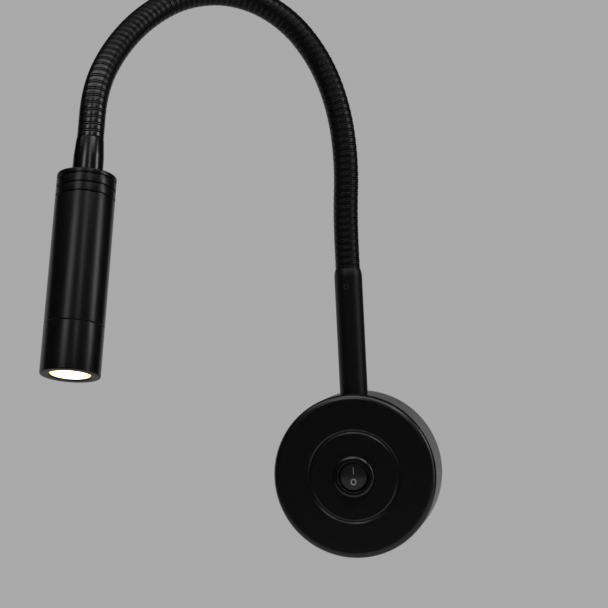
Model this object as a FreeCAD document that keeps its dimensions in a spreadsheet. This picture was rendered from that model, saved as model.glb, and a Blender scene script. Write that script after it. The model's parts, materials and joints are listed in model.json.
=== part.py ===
"""Bedside wall reading lamp: round base with a rocker switch, gooseneck and cylindrical LED head.

Frame: millimetres, +Z up, the wall is the plane y = 0 and the lamp stands off it toward -Y.
The origin is the centre of the wall bracket on the wall.
"""
import FreeCAD, Part

import math
import os

import Sketcher
from FreeCAD import Placement, Rotation, Vector

DIMENSIONS = (
    # base cover
    ("cover_radius", 40, "outer radius of the round base"),
    ("cover_depth", 25, "how far the front face stands off the wall"),
    ("cover_wall", 2, "side wall of the base"),
    ("cover_front_wall", 2.5, "front wall of the base"),
    ("cover_edge", 2.8, "rounding of the front edge"),
    ("face_ring_radius", 22, "turned ring on the front face"),
    ("face_ring_width", 2, "width of that ring between its sloped sides' outer edges"),
    ("face_ring_floor", 0.6, "width of its floor"),
    ("face_ring_depth", 0.4, "depth of that ring"),
    # wall bracket
    ("bracket_inset", 2.5, "from the cover's side wall to the round plate on the wall"),
    ("bracket_thick", 1.5, "plate thickness"),
    ("slot_inset", 5.5, "from the plate's edge to the middle of a wall screw's slot"),
    ("slot_half_width", 2.25, "half the width of a slot"),
    ("slot_length", 8, "slot length from end to end"),
    ("lug_width", 9, "width of a bent lug"),
    ("lug_depth", 11, "how far a lug stands off the wall"),
    ("lug_angle", 30, "turn of the two lugs from straight down"),
    ("seat_gap", 0.1, "clearance of a piece in its seat"),
    ("screw_gap", 0.05, "clearance of a screw in its hole"),
    ("cover_screw_radius", 1.5, "side screws of the base"),
    ("cover_screw_standoff", 6, "their height off the wall"),
    ("cover_screw_end", 1, "how far they stand out of the lugs"),
    ("socket_across", 0.5, "corners of a screw's hexagon socket, as a share of the screw's or its head's"),
    ("socket_deep", 0.5, "depth of that socket, as a share of the grub screw's length or the head's thickness"),
    # cable entry and terminals
    ("entry_drop", 17.5, "how far below the centre the supply cable comes in"),
    ("grommet_bore", 3.5, "radius of the hole in the grommet"),
    ("grommet_body", 5, "radius of the grommet in the plate"),
    ("grommet_flange", 6.8, "radius of the grommet's flanges"),
    ("grommet_lip", 1.2, "thickness of the grommet's inner flange"),
    ("block_left", 12, "left side of the terminal block"),
    ("block_inset", 7, "from the cover's side wall to the terminal block"),
    ("block_height", 24, "terminal block along Z"),
    ("block_depth", 10, "terminal block along Y"),
    ("pole_count", 3, "poles of the terminal block"),
    ("sleeve_radius", 2.4, "brass sleeve of a pole"),
    ("sleeve_bore", 1.5, "its bore for the wire"),
    ("sleeve_short", 1, "how far a sleeve ends inside the block's side"),
    ("pole_screw_radius", 1.3, "clamping screws of the poles"),
    ("pole_screw_inset", 4.5, "from the block's side to a clamping screw"),
    ("pole_screw_sunk", 1, "clamping screws below the block's front"),
    ("wire_radius", 0.9, "wires inside the base"),
    ("wire_bend", 2.5, "radius of the wires' bends"),
    ("wire_lead_out", 1.7, "from the terminal block to the bend of the switch's wire"),
    ("earth_bend", 1.5, "radius of the earth wire's bends"),
    ("wire_grip", 4, "length of a wire inside the terminal block"),
    ("fixing_screw_radius", 1.25, "screws into the wall plate"),
    ("fixing_head_radius", 2.3, "their heads"),
    ("fixing_head_thick", 1.4, "thickness of the heads"),
    ("earth_across", 9, "earth screw's place along X"),
    ("earth_drop", 25, "earth screw's place below the centre"),
    ("earth_washer_radius", 4, "earth washer"),
    ("earth_washer_thick", 0.8, "its thickness"),
    # driver
    ("driver_right", 12, "right side of the driver, left of the centre"),
    ("driver_inset", 6, "from the cover's side wall to the driver"),
    ("driver_height", 26, "driver along Z"),
    ("driver_depth", 15, "driver along Y"),
    ("driver_wall", 1.2, "wall of the driver's case"),
    ("driver_ear", 5, "length of a fixing ear"),
    ("driver_ear_half", 5, "half the width of a fixing ear"),
    ("board_rest", 1.6, "ribs under the driver's board"),
    ("board_thick", 1.6, "circuit boards"),
    ("coil_size", 9, "edge of the transformer"),
    ("coil_height", 6, "height of the transformer"),
    ("coil_drop", 6.5, "transformer below the driver's middle"),
    ("cell_radius", 2.5, "capacitor"),
    ("cell_height", 7, "height of the capacitor"),
    ("cell_rise", 3.2, "capacitor above the driver's middle"),
    # rocker switch
    ("bezel_radius", 10.15, "round collar of the switch"),
    ("bezel_proud", 2, "how far the collar stands off the face"),
    ("bezel_edge", 1.4, "rounding of the collar"),
    ("barrel_radius", 8.6, "switch body behind the face"),
    ("barrel_end", 10.5, "distance of the switch body's end from the wall"),
    ("barrel_floor", 1.5, "end wall of the switch body"),
    ("rocker_hole", 7.35, "radius of the switch opening"),
    ("rocker_radius", 6.75, "radius of the rocker"),
    ("rocker_tilt", 9, "tilt of the rocker to either side"),
    ("rocker_sunk", 2.6, "rocker's axle below the collar's front"),
    ("rocker_valley", 1.3, "middle of the rocker's face above the axle"),
    ("rocker_skirt", 1.5, "rocker's side below the axle"),
    ("axle_radius", 1, "trunnions of the rocker"),
    ("axle_reach", 8, "half length over the trunnions"),
    ("stem_radius", 2.6, "stem that holds the plunger"),
    ("stem_length", 5, "end of the stem below the axle"),
    ("plunger_radius", 1.6, "plunger and its round tip, and the spring behind it"),
    ("plunger_tip", 6.9, "centre of the tip below the axle"),
    ("spring_bore", 1.2, "inner radius of the spring"),
    ("spring_length", 2.5, "its length"),
    ("contact_below", 8.8, "contact strip's face below the axle"),
    ("contact_thick", 0.6, "contact strip"),
    ("contact_half", 5, "half length of the contact strip"),
    ("contact_width", 3, "width of the contact strip"),
    ("contact_tilt", 6, "tilt of the contact strip to either side"),
    ("moving_gap", 0.3, "gap between pieces that move past each other"),
    ("blade_thick", 0.8, "terminal blades"),
    ("blade_width", 4.8, "width of a blade"),
    ("blade_end", 4.5, "distance of the blades' ends from the wall"),
    ("clip_reach", 0.8, "snap lugs behind the face"),
    ("clip_width", 4, "width of a snap lug"),
    ("clip_length", 2.4, "length of a snap lug"),
    # arm socket and tube
    ("arm_off_wall", 13, "tube's axis off the wall"),
    ("tube_radius", 6.8, "tube and ferrule"),
    ("tube_bore", 4.6, "bore of the tube"),
    ("tube_rise", 61, "upper end of the tube above the base"),
    ("socket_inset", 16, "ledge that the tube stands on, below the base's top"),
    ("socket_floor", 2, "floor of the socket"),
    ("socket_wall", 1.6, "socket's wall before and behind the tube"),
    ("socket_side_wall", 3.2, "socket's wall beside the tube"),
    ("socket_height", 14, "socket along Z"),
    ("ear_reach", 17, "half width over the socket's ears"),
    ("ear_thick", 3, "thickness of the ears"),
    ("ear_height", 8, "height of the ears"),
    ("post_across", 14, "posts for the ears, from the middle"),
    ("post_length", 3, "length of the posts"),
    ("post_radius", 2.8, "radius of the posts"),
    ("clamp_radius", 2, "grub screw that clamps the tube"),
    ("hose_screw_drop", 9, "grub screw of the hose below the tube's top"),
    ("hose_screw_radius", 1.5, "that grub screw"),
    # gooseneck
    ("hose_radius", 6, "over the ribs"),
    ("hose_root", 5.45, "between the ribs"),
    ("hose_bore", 3.9, "bore for the lead"),
    ("hose_foot", 12, "straight stretch at either end"),
    ("hose_plug", 5.3, "plain end in the tube and the ferrule"),
    ("plug_length", 12, "its length"),
    ("link_length", 26.2, "one link of the gooseneck, along its middle"),
    ("ribs_per_link", 8, "ribs on one link"),
    ("rib_rise", 0.1, "share of the pitch where a rib rises or falls"),
    ("rib_crest", 0.61, "share of the pitch on a rib's crest"),
    ("ball_radius", 7, "round end of a link about its pivot"),
    ("azimuth_first", -30, "first link's bending direction, from -X toward -Y"),
    ("azimuth_last", 83.5, "last link's bending direction"),
    ("shoulder_drop", 0.9, "how much the tube's and the ferrule's mouth is narrower"),
    ("shoulder_rise", 4.5, "length of the rounded shoulders"),
    ("lead_radius", 1.5, "lead to the head"),
    ("lead_bend", 4, "radius of the lead's bends in the base"),
    ("lead_turn_rise", 3.4, "height of the lead's bend above the driver"),
    ("lead_rise_drop", 3.1, "its bend below the socket"),
    ("lead_inside", 2, "length of the lead inside the driver"),
    ("lead_across", 6.7, "lead's hole from the driver's right side"),
    # head
    ("ferrule_length", 17.5, "ferrule from the hose to the head"),
    ("ferrule_flare", 0.15, "widening of the ferrule toward the head"),
    ("spigot_radius", 5, "threaded end of the ferrule"),
    ("spigot_bore", 2.4, "its bore"),
    ("washer_thick", 1, "washer in the head"),
    ("nut_thick", 4, "nut in the head"),
    ("nut_radius", 8, "corners of that nut"),
    ("head_radius", 13.25, "head"),
    ("head_length", 91, "head, from its top to the rim"),
    ("head_cap", 3.4, "top wall of the head"),
    ("head_wall", 1.5, "side wall of the head"),
    ("head_ledge", 0.8, "step that the heat sink sits on"),
    ("groove_first", 2.4, "first groove below the top"),
    ("groove_step", 4.2, "from groove to groove"),
    ("groove_count", 3, "turned grooves near the top"),
    ("groove_width", 1, "width of a groove"),
    ("groove_depth", 0.8, "depth of a groove"),
    ("head_edge", 0.6, "rounding of the head's edges"),
    ("seam_chamfer", 0.35, "chamfers at the seam of the front collar"),
    ("collar_length", 22, "front collar of the head"),
    ("thread_length", 6, "collar's thread inside the head"),
    ("thread_wall", 1.2, "wall of the thread"),
    ("sink_depth", 16, "heat sink"),
    ("sink_slot", 1.6, "width of a cooling slot"),
    ("sink_slots", 8, "cooling slots"),
    ("sink_slot_depth", 5.2, "depth of a cooling slot"),
    ("sink_base", 4, "solid front of the heat sink"),
    ("board_gap", 0.9, "clearance of the LED board in the collar"),
    ("board_screw_inset", 1.7, "LED board's screws from its edge"),
    ("board_screw_radius", 0.9, "LED board's screws"),
    ("board_head_radius", 1.5, "their heads"),
    ("board_head_thick", 1, "thickness of those heads"),
    ("board_screw_bite", 3, "thread of those screws in the heat sink"),
    ("led_gap", 1, "clearance of the LED in the reflector"),
    ("led_base_height", 0.6, "base of the LED"),
    ("led_frame", 0.7, "rim round the LED's lit face"),
    ("led_chip_height", 0.6, "height of the lit face above the base"),
    ("rim_width", 4.05, "width of the rim round the light opening"),
    ("rim_thick", 2, "front wall of the collar"),
    ("rim_chamfer", 0.7, "chamfer inside the opening"),
    ("seal_thick", 1, "seal in front of the glass"),
    ("glass_thick", 2, "rim of the glass"),
    ("glass_inset", 0.5, "raised middle of the glass behind the head's front"),
    ("glass_edge", 0.5, "rounding of that middle"),
    ("reflector_skin", 0.6, "reflector"),
    ("reflector_gap", 1.2, "clearance of the reflector's small end from the board's screws"),
    ("reflector_lip", 0.8, "flat lip of the reflector"),
)

LINK_BENDS = (-5, 10, 13, 18, 27, 30, 23, 12, 10, 24)
"""Bend of each link of the gooseneck at rest, in degrees, from the base to the head."""

BORE_STEP = 3
"""A bent link's bore has a ring every so many degrees."""

TUBE_TOLERANCE = 0.01
"""How far a swept tube's volume may differ from its section times its length, as a share."""

doc = FreeCAD.newDocument("reading_lamp")
sheet = doc.addObject("Spreadsheet::Sheet", "dims")


class Size:
    """A length or an angle: its number, and the same formula as text for the document's bindings."""

    def __init__(self, number, text):
        self.number = number
        self.text = text

    def __float__(self):
        return float(self.number)

    def __add__(self, other):
        return combine(self, "+", other, float(self) + float(other))

    def __radd__(self, other):
        return combine(other, "+", self, float(other) + float(self))

    def __sub__(self, other):
        return combine(self, "-", other, float(self) - float(other))

    def __rsub__(self, other):
        return combine(other, "-", self, float(other) - float(self))

    def __mul__(self, other):
        return combine(self, "*", other, float(self) * float(other))

    def __rmul__(self, other):
        return combine(other, "*", self, float(other) * float(self))

    def __truediv__(self, other):
        return combine(self, "/", other, float(self) / float(other))

    def __neg__(self):
        return Size(-self.number, f"(-{self.text})")


def text_of(value):
    return value.text if isinstance(value, Size) else repr(value)


def combine(left, sign, right, number):
    return Size(number, f"({text_of(left)} {sign} {text_of(right)})")


def root(value):
    return Size(math.sqrt(float(value)), f"sqrt({value.text})")


class Sizes:
    """The named dimensions, each read from its own cell of the sheet."""

    def __init__(self, rows):
        for row, (name, number, note) in enumerate(rows, start=1):
            sheet.set(f"A{row}", name)
            sheet.set(f"B{row}", str(number))
            sheet.setAlias(f"B{row}", name)
            sheet.set(f"C{row}", note)
            setattr(self, name, Size(number, f"dims.{name}"))


dim = Sizes(DIMENSIONS)
doc.recompute()

NODES = []


def named(label, obj):
    """Make obj the sub-part of that name."""
    obj.Label = label
    NODES.append(obj)
    return obj


def bind(obj, prop, value):
    if isinstance(value, Size):
        obj.setExpression(prop, value.text)
    else:
        setattr(obj, prop, value)


# ---------------------------------------------------------------- sketched solids of revolution


def rounded(outline):
    """Turn corners given as (x, y, radius) into two tangent points with an arc between them.

    The edges beside such a corner run along the sketch's axes. A point (x, y, None, radius) is
    left by an arc that goes on from the edge before it. Each entry of the result is a point and
    the radius of the arc that leaves it (None for a straight edge).
    """
    result = []
    for index, corner in enumerate(outline):
        if len(corner) != 3:
            result.append((corner[0], corner[1], corner[3] if len(corner) == 4 else None))
            continue
        x, y, radius = corner
        for step in (-1, 1):
            other = outline[(index + step) % len(outline)]
            across = float(other[0]) - float(x)
            along = float(other[1]) - float(y)
            if abs(across) > abs(along):
                point = (x + radius if across > 0 else x - radius, y)
            else:
                point = (x, y + radius if along > 0 else y - radius)
            result.append((point[0], point[1], radius if step == -1 else None))
    return result


def arc_between(start, end, radius, ahead):
    """The arc from start to end that leaves start in the direction ahead."""
    turn = ahead.cross(end - start).z
    side = Vector(-ahead.y, ahead.x, 0) * (1 if turn > 0 else -1)
    centre = start + side * radius
    first, last = (start, end) if turn > 0 else (end, start)
    circle = Part.Circle(centre, Vector(0, 0, 1), radius)
    return Part.ArcOfCircle(circle, circle.parameter(first), circle.parameter(last)), turn > 0


def draw_outline(sketch, outline):
    """Draw a closed outline with every point dimensioned from the sketch's origin."""
    points = rounded(outline)
    places = [Vector(float(x), float(y), 0) for x, y, _ in points]
    ends = []
    for index, (_, _, radius) in enumerate(points):
        start, end = places[index], places[(index + 1) % len(points)]
        if radius is None:
            geometry = sketch.addGeometry(Part.LineSegment(start, end), False)
            ends.append((geometry, 1, 2))
            continue
        ahead = (start - places[index - 1]).normalize()
        arc, forward = arc_between(start, end, float(radius), ahead)
        geometry = sketch.addGeometry(arc, False)
        ends.append((geometry, 1, 2) if forward else (geometry, 2, 1))
        number = sketch.addConstraint(Sketcher.Constraint("Radius", geometry, float(radius)))
        sketch.setExpression(f"Constraints[{number}]", radius.text)
    for index, (geometry, first, _) in enumerate(ends):
        before, _, last = ends[index - 1]
        sketch.addConstraint(Sketcher.Constraint("Coincident", before, last, geometry, first))
        x, y, _ = points[index]
        for kind, value in (("DistanceX", x), ("DistanceY", y)):
            constraint = Sketcher.Constraint(kind, -1, 1, geometry, first, float(value))
            number = sketch.addConstraint(constraint)
            if isinstance(value, Size):
                sketch.setExpression(f"Constraints[{number}]", value.text)


def revolved(label, outline, place=Placement()):
    """A body turned about its own Y axis; the outline's points are (radius, place along the axis)."""
    body = doc.addObject("PartDesign::Body", label + "_body")
    plane = [item for item in body.Origin.OriginFeatures if item.Role == "XY_Plane"][0]
    sketch = body.newObject("Sketcher::SketchObject", label + "_profile")
    sketch.AttachmentSupport = [(plane, "")]
    sketch.MapMode = "FlatFace"
    draw_outline(sketch, outline)
    turned = body.newObject("PartDesign::Revolution", label + "_turned")
    turned.Profile = sketch
    turned.ReferenceAxis = (sketch, ["V_Axis"])
    turned.Angle = 360
    body.Tip = turned
    body.Placement = place
    return body


# ---------------------------------------------------------------- blocks, rods and booleans

AXIS_TURNS = {
    "x": Rotation(Vector(0, 0, 1), Vector(1, 0, 0)),
    "y": Rotation(Vector(0, 0, 1), Vector(0, 1, 0)),
    "z": Rotation(),
}


def put(obj, corner, turn=Rotation()):
    obj.Placement = Placement(Vector(*[float(value) for value in corner]), turn)
    for axis, value in zip("xyz", corner):
        if isinstance(value, Size):
            obj.setExpression(f"Placement.Base.{axis}", value.text)
    return obj


def block(name, x_span, y_span, z_span):
    obj = doc.addObject("Part::Box", name)
    for prop, (low, high) in (("Length", x_span), ("Width", y_span), ("Height", z_span)):
        bind(obj, prop, high - low)
    return put(obj, (x_span[0], y_span[0], z_span[0]))


def rod(name, radius, axis, start, length):
    """A cylinder from start along the given axis."""
    obj = doc.addObject("Part::Cylinder", name)
    bind(obj, "Radius", radius)
    bind(obj, "Height", length)
    return put(obj, start, AXIS_TURNS[axis])


def ball(name, radius, centre):
    obj = doc.addObject("Part::Sphere", name)
    bind(obj, "Radius", radius)
    return put(obj, centre)


def joined(name, parts):
    obj = doc.addObject("Part::MultiFuse", name)
    obj.Shapes = parts
    return obj


def cut(name, base, tools):
    obj = doc.addObject("Part::Cut", name)
    obj.Base = base
    obj.Tool = tools[0] if len(tools) == 1 else joined(name + "_tools", tools)
    return obj


def group(name, parts):
    obj = doc.addObject("Part::Compound", name)
    obj.Links = parts
    return obj


def hex_rod(name, radius, length, start):
    obj = doc.addObject("Part::Prism", name)
    obj.Polygon = 6
    bind(obj, "Circumradius", radius)
    bind(obj, "Height", length)
    return put(obj, start)


def grub(name, radius, length, place):
    """A headless screw with a hexagon socket; its socket end lies at place, its body behind it."""
    body = rod(name + "_rod", radius, "z", (0, 0, -length), length)
    depth = length * dim.socket_deep
    socket = hex_rod(name + "_socket", radius * dim.socket_across, depth, (0, 0, -depth))
    obj = cut(name, body, [socket])
    obj.Placement = place
    return obj


def screw(name, shank_radius, shank_length, place, head_radius=None, head_thick=None):
    """A cheese-head screw; the underside of its head lies at place and the shank behind it."""
    head_radius = head_radius or dim.fixing_head_radius
    head_thick = head_thick or dim.fixing_head_thick
    head = rod(name + "_head", head_radius, "z", (0, 0, 0), head_thick)
    shank = rod(name + "_shank", shank_radius, "z", (0, 0, -shank_length), shank_length)
    depth = head_thick * dim.socket_deep
    socket = hex_rod(name + "_socket", head_radius * dim.socket_across, depth, (0, 0, head_thick - depth))
    obj = cut(name, joined(name + "_solid", [head, shank]), [socket])
    obj.Placement = place
    return obj


def facing(x, y, z, ahead):
    """A place whose own Z axis points ahead."""
    return Placement(Vector(float(x), float(y), float(z)), Rotation(Vector(0, 0, 1), Vector(*ahead)))


def facing_front(x, y, z):
    """A place whose own Z axis points away from the wall."""
    return facing(x, y, z, (0, -1, 0))


def facing_wall(x, y, z):
    """A place whose own Z axis points to the wall."""
    return facing(x, y, z, (0, 1, 0))


# ---------------------------------------------------------------- base


def wall_bracket():
    """Round steel plate with two slots, a cable hole and two bent lugs for the cover's screws."""
    thick, half = dim.bracket_thick, dim.slot_half_width
    plate = rod("bracket_plate", bracket_radius(), "y", (0, -thick, 0), thick)
    entry = (0, -thick, -dim.entry_drop)
    holes = [rod("cable_hole", dim.grommet_body + dim.seat_gap, "y", entry, thick)]
    straight = (dim.slot_length - 2 * half) / 2
    for side, level in (("upper", slot_level()), ("lower", -slot_level())):
        holes.append(block(side + "_slot", (-half, half), (-thick, 0), (level - straight, level + straight)))
        for end in (-1, 1):
            start = (0, -thick, level + end * straight)
            holes.append(rod(f"{side}_slot_end_{end + 1}", half, "y", start, thick))
    for number, (x, z) in enumerate(plate_screw_places()):
        holes.append(rod(f"plate_thread_{number}", plate_hole(), "y", (x, -thick, z), thick))
    lugs = [lug(side) for side in (-1, 1)]
    holes += [lug_hole(side) for side in (-1, 1)]
    named("wall_bracket", cut("wall_bracket", joined("bracket_solid", [plate] + lugs), holes))


def inner_radius():
    """Inside of the cover's side wall."""
    return dim.cover_radius - dim.cover_wall


def bracket_radius():
    return inner_radius() - dim.bracket_inset


def slot_level():
    """The wall screws' slots are this far above and below the centre."""
    return bracket_radius() - dim.slot_inset


def plate_hole():
    return dim.fixing_screw_radius + dim.screw_gap


def lug_outer():
    """Distance of a lug's outer face from the middle of the base."""
    return root(inner_radius() * inner_radius() - dim.lug_width * dim.lug_width / 4) - dim.seat_gap


def lug_turn(side):
    """Turn about the Y axis that brings a lug from straight down to its place."""
    return Placement(Vector(), Rotation(Vector(0, 1, 0), side * float(dim.lug_angle)))


def lug(side):
    half = dim.lug_width / 2
    outer = lug_outer()
    upright = block(f"lug_upright_{side + 1}", (-half, half), (-dim.lug_depth, 0),
                    (-outer, -outer + dim.bracket_thick))
    foot = block(f"lug_foot_{side + 1}", (-half, half), (-dim.bracket_thick, 0),
                 (-outer, -outer + dim.lug_width))
    bent = joined(f"lug_{side + 1}", [upright, foot])
    bent.Placement = lug_turn(side)
    return bent


def lug_hole(side):
    hole = rod(f"lug_thread_{side + 1}", dim.cover_screw_radius + dim.screw_gap, "z",
               (0, -dim.cover_screw_standoff, -lug_outer() - dim.bracket_thick),
               3 * dim.bracket_thick)
    turned = group(f"lug_thread_place_{side + 1}", [hole])
    turned.Placement = lug_turn(side)
    return turned


def plate_screw_places():
    """Where screws go into the wall plate: driver ears, terminal block and earth."""
    middle = driver_middle()
    ear = dim.driver_height / 2 + dim.driver_ear / 2
    block_middle = dim.block_left + block_width() / 2
    return (
        (middle, ear),
        (middle, -ear),
        (block_middle, terminal_gap_level()),
        (dim.earth_across, -dim.earth_drop),
    )


def driver_width():
    return inner_radius() - dim.driver_inset - dim.driver_right


def driver_middle():
    return -dim.driver_right - driver_width() / 2


def block_width():
    return inner_radius() - dim.block_inset - dim.block_left


def pole_pitch():
    return dim.block_height / dim.pole_count


def terminal_gap_level():
    """Height of the wall between the upper two poles."""
    return dim.block_height / 2 - pole_pitch()


def base_cover():
    """Turned aluminium cover with the switch hole, the tube's hole and the socket's two posts."""
    outer, depth = dim.cover_radius, dim.cover_depth
    inner, front = inner_radius(), depth - dim.cover_front_wall
    hole = dim.barrel_radius + dim.seat_gap
    ring, half, floor = dim.face_ring_radius, dim.face_ring_width / 2, dim.face_ring_floor / 2
    shell = revolved("base_cover", [
        (inner, 0),
        (outer, 0),
        (outer, -depth, dim.cover_edge),
        (ring + half, -depth),
        (ring + floor, -depth + dim.face_ring_depth),
        (ring - floor, -depth + dim.face_ring_depth),
        (ring - half, -depth),
        (hole, -depth),
        (hole, -front),
        (inner, -front),
    ])
    posts = []
    threads = []
    reach = dim.post_length + dim.cover_front_wall / 2
    thread = dim.post_length + dim.screw_gap
    for side in (-1, 1):
        across = side * dim.post_across
        root_place = (across, -front - dim.cover_front_wall / 2, post_level())
        thread_place = (across, -front - dim.screw_gap, post_level())
        posts.append(rod(f"post_{side + 1}", dim.post_radius, "y", root_place, reach))
        threads.append(rod(f"post_thread_{side + 1}", plate_hole(), "y", thread_place, thread))
        side_hole = rod(f"side_hole_{side + 1}", dim.cover_screw_radius + dim.screw_gap, "z",
                        (0, -dim.cover_screw_standoff, -outer), 2 * dim.cover_wall)
        turned = group(f"side_hole_place_{side + 1}", [side_hole])
        turned.Placement = lug_turn(side)
        threads.append(turned)
    tube_hole = rod("tube_hole", dim.tube_radius + dim.screw_gap, "z",
                    (0, -dim.arm_off_wall, outer / 2), outer)
    solid = joined("cover_solid", [shell] + posts)
    named("base_cover", cut("cover_finished", solid, threads + [tube_hole]))


def tube_seat():
    """Ledge in the socket that the tube stands on."""
    return dim.cover_radius - dim.socket_inset


def socket_bottom():
    return tube_seat() - dim.socket_floor


def post_level():
    """Height of the two posts: the middle of the arm's socket."""
    return socket_bottom() + dim.socket_height / 2


def cover_screws():
    """Grub screws through the cover's side into the two lugs."""
    length = dim.cover_wall + dim.bracket_thick + dim.cover_screw_end
    out = facing(0, -dim.cover_screw_standoff, -dim.cover_radius + dim.seat_gap, (0, 0, -1))
    named("cover_screws", group("cover_screws", [
        grub(f"cover_screw_{side + 1}", dim.cover_screw_radius, length, lug_turn(side).multiply(out))
        for side in (-1, 1)
    ]))


def cable_grommet():
    """Rubber grommet in the plate's cable hole."""
    thick, bore = dim.bracket_thick, dim.grommet_bore
    place = Placement(Vector(0, 0, -float(dim.entry_drop)), Rotation())
    named("cable_grommet", revolved("cable_grommet", [
        (bore, 0),
        (dim.grommet_body, 0),
        (dim.grommet_body, -thick),
        (dim.grommet_flange, -thick),
        (dim.grommet_flange, -thick - dim.grommet_lip),
        (bore, -thick - dim.grommet_lip),
    ], place))


def pole_levels():
    first = dim.block_height / 2 - pole_pitch() / 2
    return [first - number * pole_pitch() for number in range(int(dim.pole_count.number))]


def terminal_block():
    """Moulded block with a through hole for each pole's sleeve and wells for its screws."""
    left, right = dim.block_left, dim.block_left + block_width()
    back, front = -dim.bracket_thick, -dim.bracket_thick - dim.block_depth
    half = dim.block_height / 2
    middle = (back + front) / 2
    body = block("terminal_body", (left, right), (front, back), (-half, half))
    fixing = (left + block_width() / 2, front, terminal_gap_level())
    bores = [rod("fixing_hole", plate_hole(), "y", fixing, dim.block_depth)]
    sleeves, screws = [], []
    width, deep = block_width(), dim.block_depth / 2
    screw_hole = dim.pole_screw_radius + dim.screw_gap
    screw_length = deep - dim.pole_screw_sunk - dim.wire_radius - dim.seat_gap
    for number, level in enumerate(pole_levels()):
        side = (left, middle, level)
        bores.append(rod(f"pole_bore_{number}", dim.sleeve_radius, "x", side, width))
        sleeve = rod(f"sleeve_rod_{number}", dim.sleeve_radius, "x", (left + dim.sleeve_short, middle, level),
                     width - 2 * dim.sleeve_short)
        ways = [rod(f"sleeve_bore_{number}", dim.sleeve_bore, "x", side, width)]
        for place, across in (("in", left + dim.pole_screw_inset), ("out", right - dim.pole_screw_inset)):
            well = (across, front, level)
            bores.append(rod(f"pole_well_{place}_{number}", screw_hole, "y", well, deep))
            ways.append(rod(f"sleeve_thread_{place}_{number}", screw_hole, "y", well, deep))
            screws.append(grub(f"pole_screw_{place}_{number}", dim.pole_screw_radius, screw_length,
                               facing_front(across, front + dim.pole_screw_sunk, level)))
        sleeves.append(cut(f"sleeve_{number}", sleeve, ways))
    named("terminal_block", cut("terminal_block", body, bores))
    named("terminal_sleeves", group("terminal_sleeves", sleeves))
    named("terminal_screws", group("terminal_screws", screws))


def plate_screws():
    """Screws into the wall plate, which end flush with its back."""
    thick = dim.bracket_thick
    places = plate_screw_places()
    ears = [screw(f"driver_screw_{number}", dim.fixing_screw_radius, thick + dim.driver_wall,
                  facing_front(x, -thick - dim.driver_wall, z))
            for number, (x, z) in enumerate(places[:2])]
    named("driver_screws", group("driver_screws", ears))
    x, z = places[2]
    depth = dim.block_depth
    named("terminal_block_screw", screw("terminal_block_screw", dim.fixing_screw_radius, thick + depth,
                                        facing_front(x, -thick - depth, z)))
    x, z = places[3]
    washer = dim.earth_washer_thick
    named("earth_screw", screw("earth_screw", dim.fixing_screw_radius, thick + washer,
                               facing_front(x, -thick - washer, z)))
    ring = rod("earth_ring", dim.earth_washer_radius, "y", (x, -thick - washer, z), washer)
    hole = rod("earth_ring_hole", plate_hole(), "y", (x, -thick - washer, z), washer)
    named("earth_washer", cut("earth_washer", ring, [hole]))


def driver():
    """LED driver: open case with two ears, board on ribs, transformer, capacitor and lid."""
    right, left = -dim.driver_right, -dim.driver_right - driver_width()
    half, wall = dim.driver_height / 2, dim.driver_wall
    back, front = -dim.bracket_thick, -dim.bracket_thick - dim.driver_depth
    outer = block("case_outer", (left, right), (front + wall, back), (-half, half))
    ear = half + dim.driver_ear
    middle = driver_middle()
    ears = block("case_ears", (middle - dim.driver_ear_half, middle + dim.driver_ear_half),
                 (back - wall, back), (-ear, ear))
    inside = (left + wall, right - wall)
    hollow = block("case_hollow", inside, (front, back - wall), (-half + wall, half - wall))
    rest = back - wall - dim.board_rest
    ribs = [block(f"case_rib_{number}", inside, (rest, back - wall), span)
            for number, span in enumerate(((-half + wall, -half + 2 * wall), (half - 2 * wall, half - wall)))]
    holes = [rod(f"ear_hole_{number}", plate_hole(), "y", (x, back - wall, z), wall)
             for number, (x, z) in enumerate(plate_screw_places()[:2])]
    holes.append(rod("lead_hole", dim.lead_radius + dim.seat_gap, "z",
                     (lead_entry_x(), -dim.arm_off_wall, half - 2 * wall), 3 * wall))
    holes += [rod(f"wire_hole_{number}", dim.wire_radius + dim.seat_gap, "x", (right - wall, wire_y(), level),
                  wall)
              for number, level in enumerate(pole_levels()[:2])]
    case = joined("case_solid", [cut("case_shell", joined("case_body", [outer, ears]), [hollow])] + ribs)
    named("driver_case", cut("driver_case", case, holes))
    named("driver_lid", block("driver_lid", (left, right), (front, front + wall), (-half, half)))
    gap = dim.seat_gap
    named("driver_board", block("driver_board", (left + wall + gap, right - wall - gap),
                                (rest - dim.board_thick, rest), (-half + wall + gap, half - wall - gap)))
    top = rest - dim.board_thick
    edge = dim.coil_size / 2
    named("driver_coil", block("driver_coil", (middle - edge, middle + edge), (top - dim.coil_height, top),
                               (-dim.coil_drop - edge, -dim.coil_drop + edge)))
    named("driver_capacitor", rod("driver_capacitor", dim.cell_radius, "y",
                                  (middle + edge - dim.cell_radius, top - dim.cell_height, dim.cell_rise),
                                  dim.cell_height))


def lead_entry_x():
    """Where the lead goes into the top of the driver."""
    return -dim.driver_right - dim.lead_across


def wire_y():
    """The wires run level with the terminal block's sleeves."""
    return -dim.bracket_thick - dim.block_depth / 2


# ---------------------------------------------------------------- rocker switch


def axle_y():
    return -dim.cover_depth - dim.bezel_proud + dim.rocker_sunk


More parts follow.
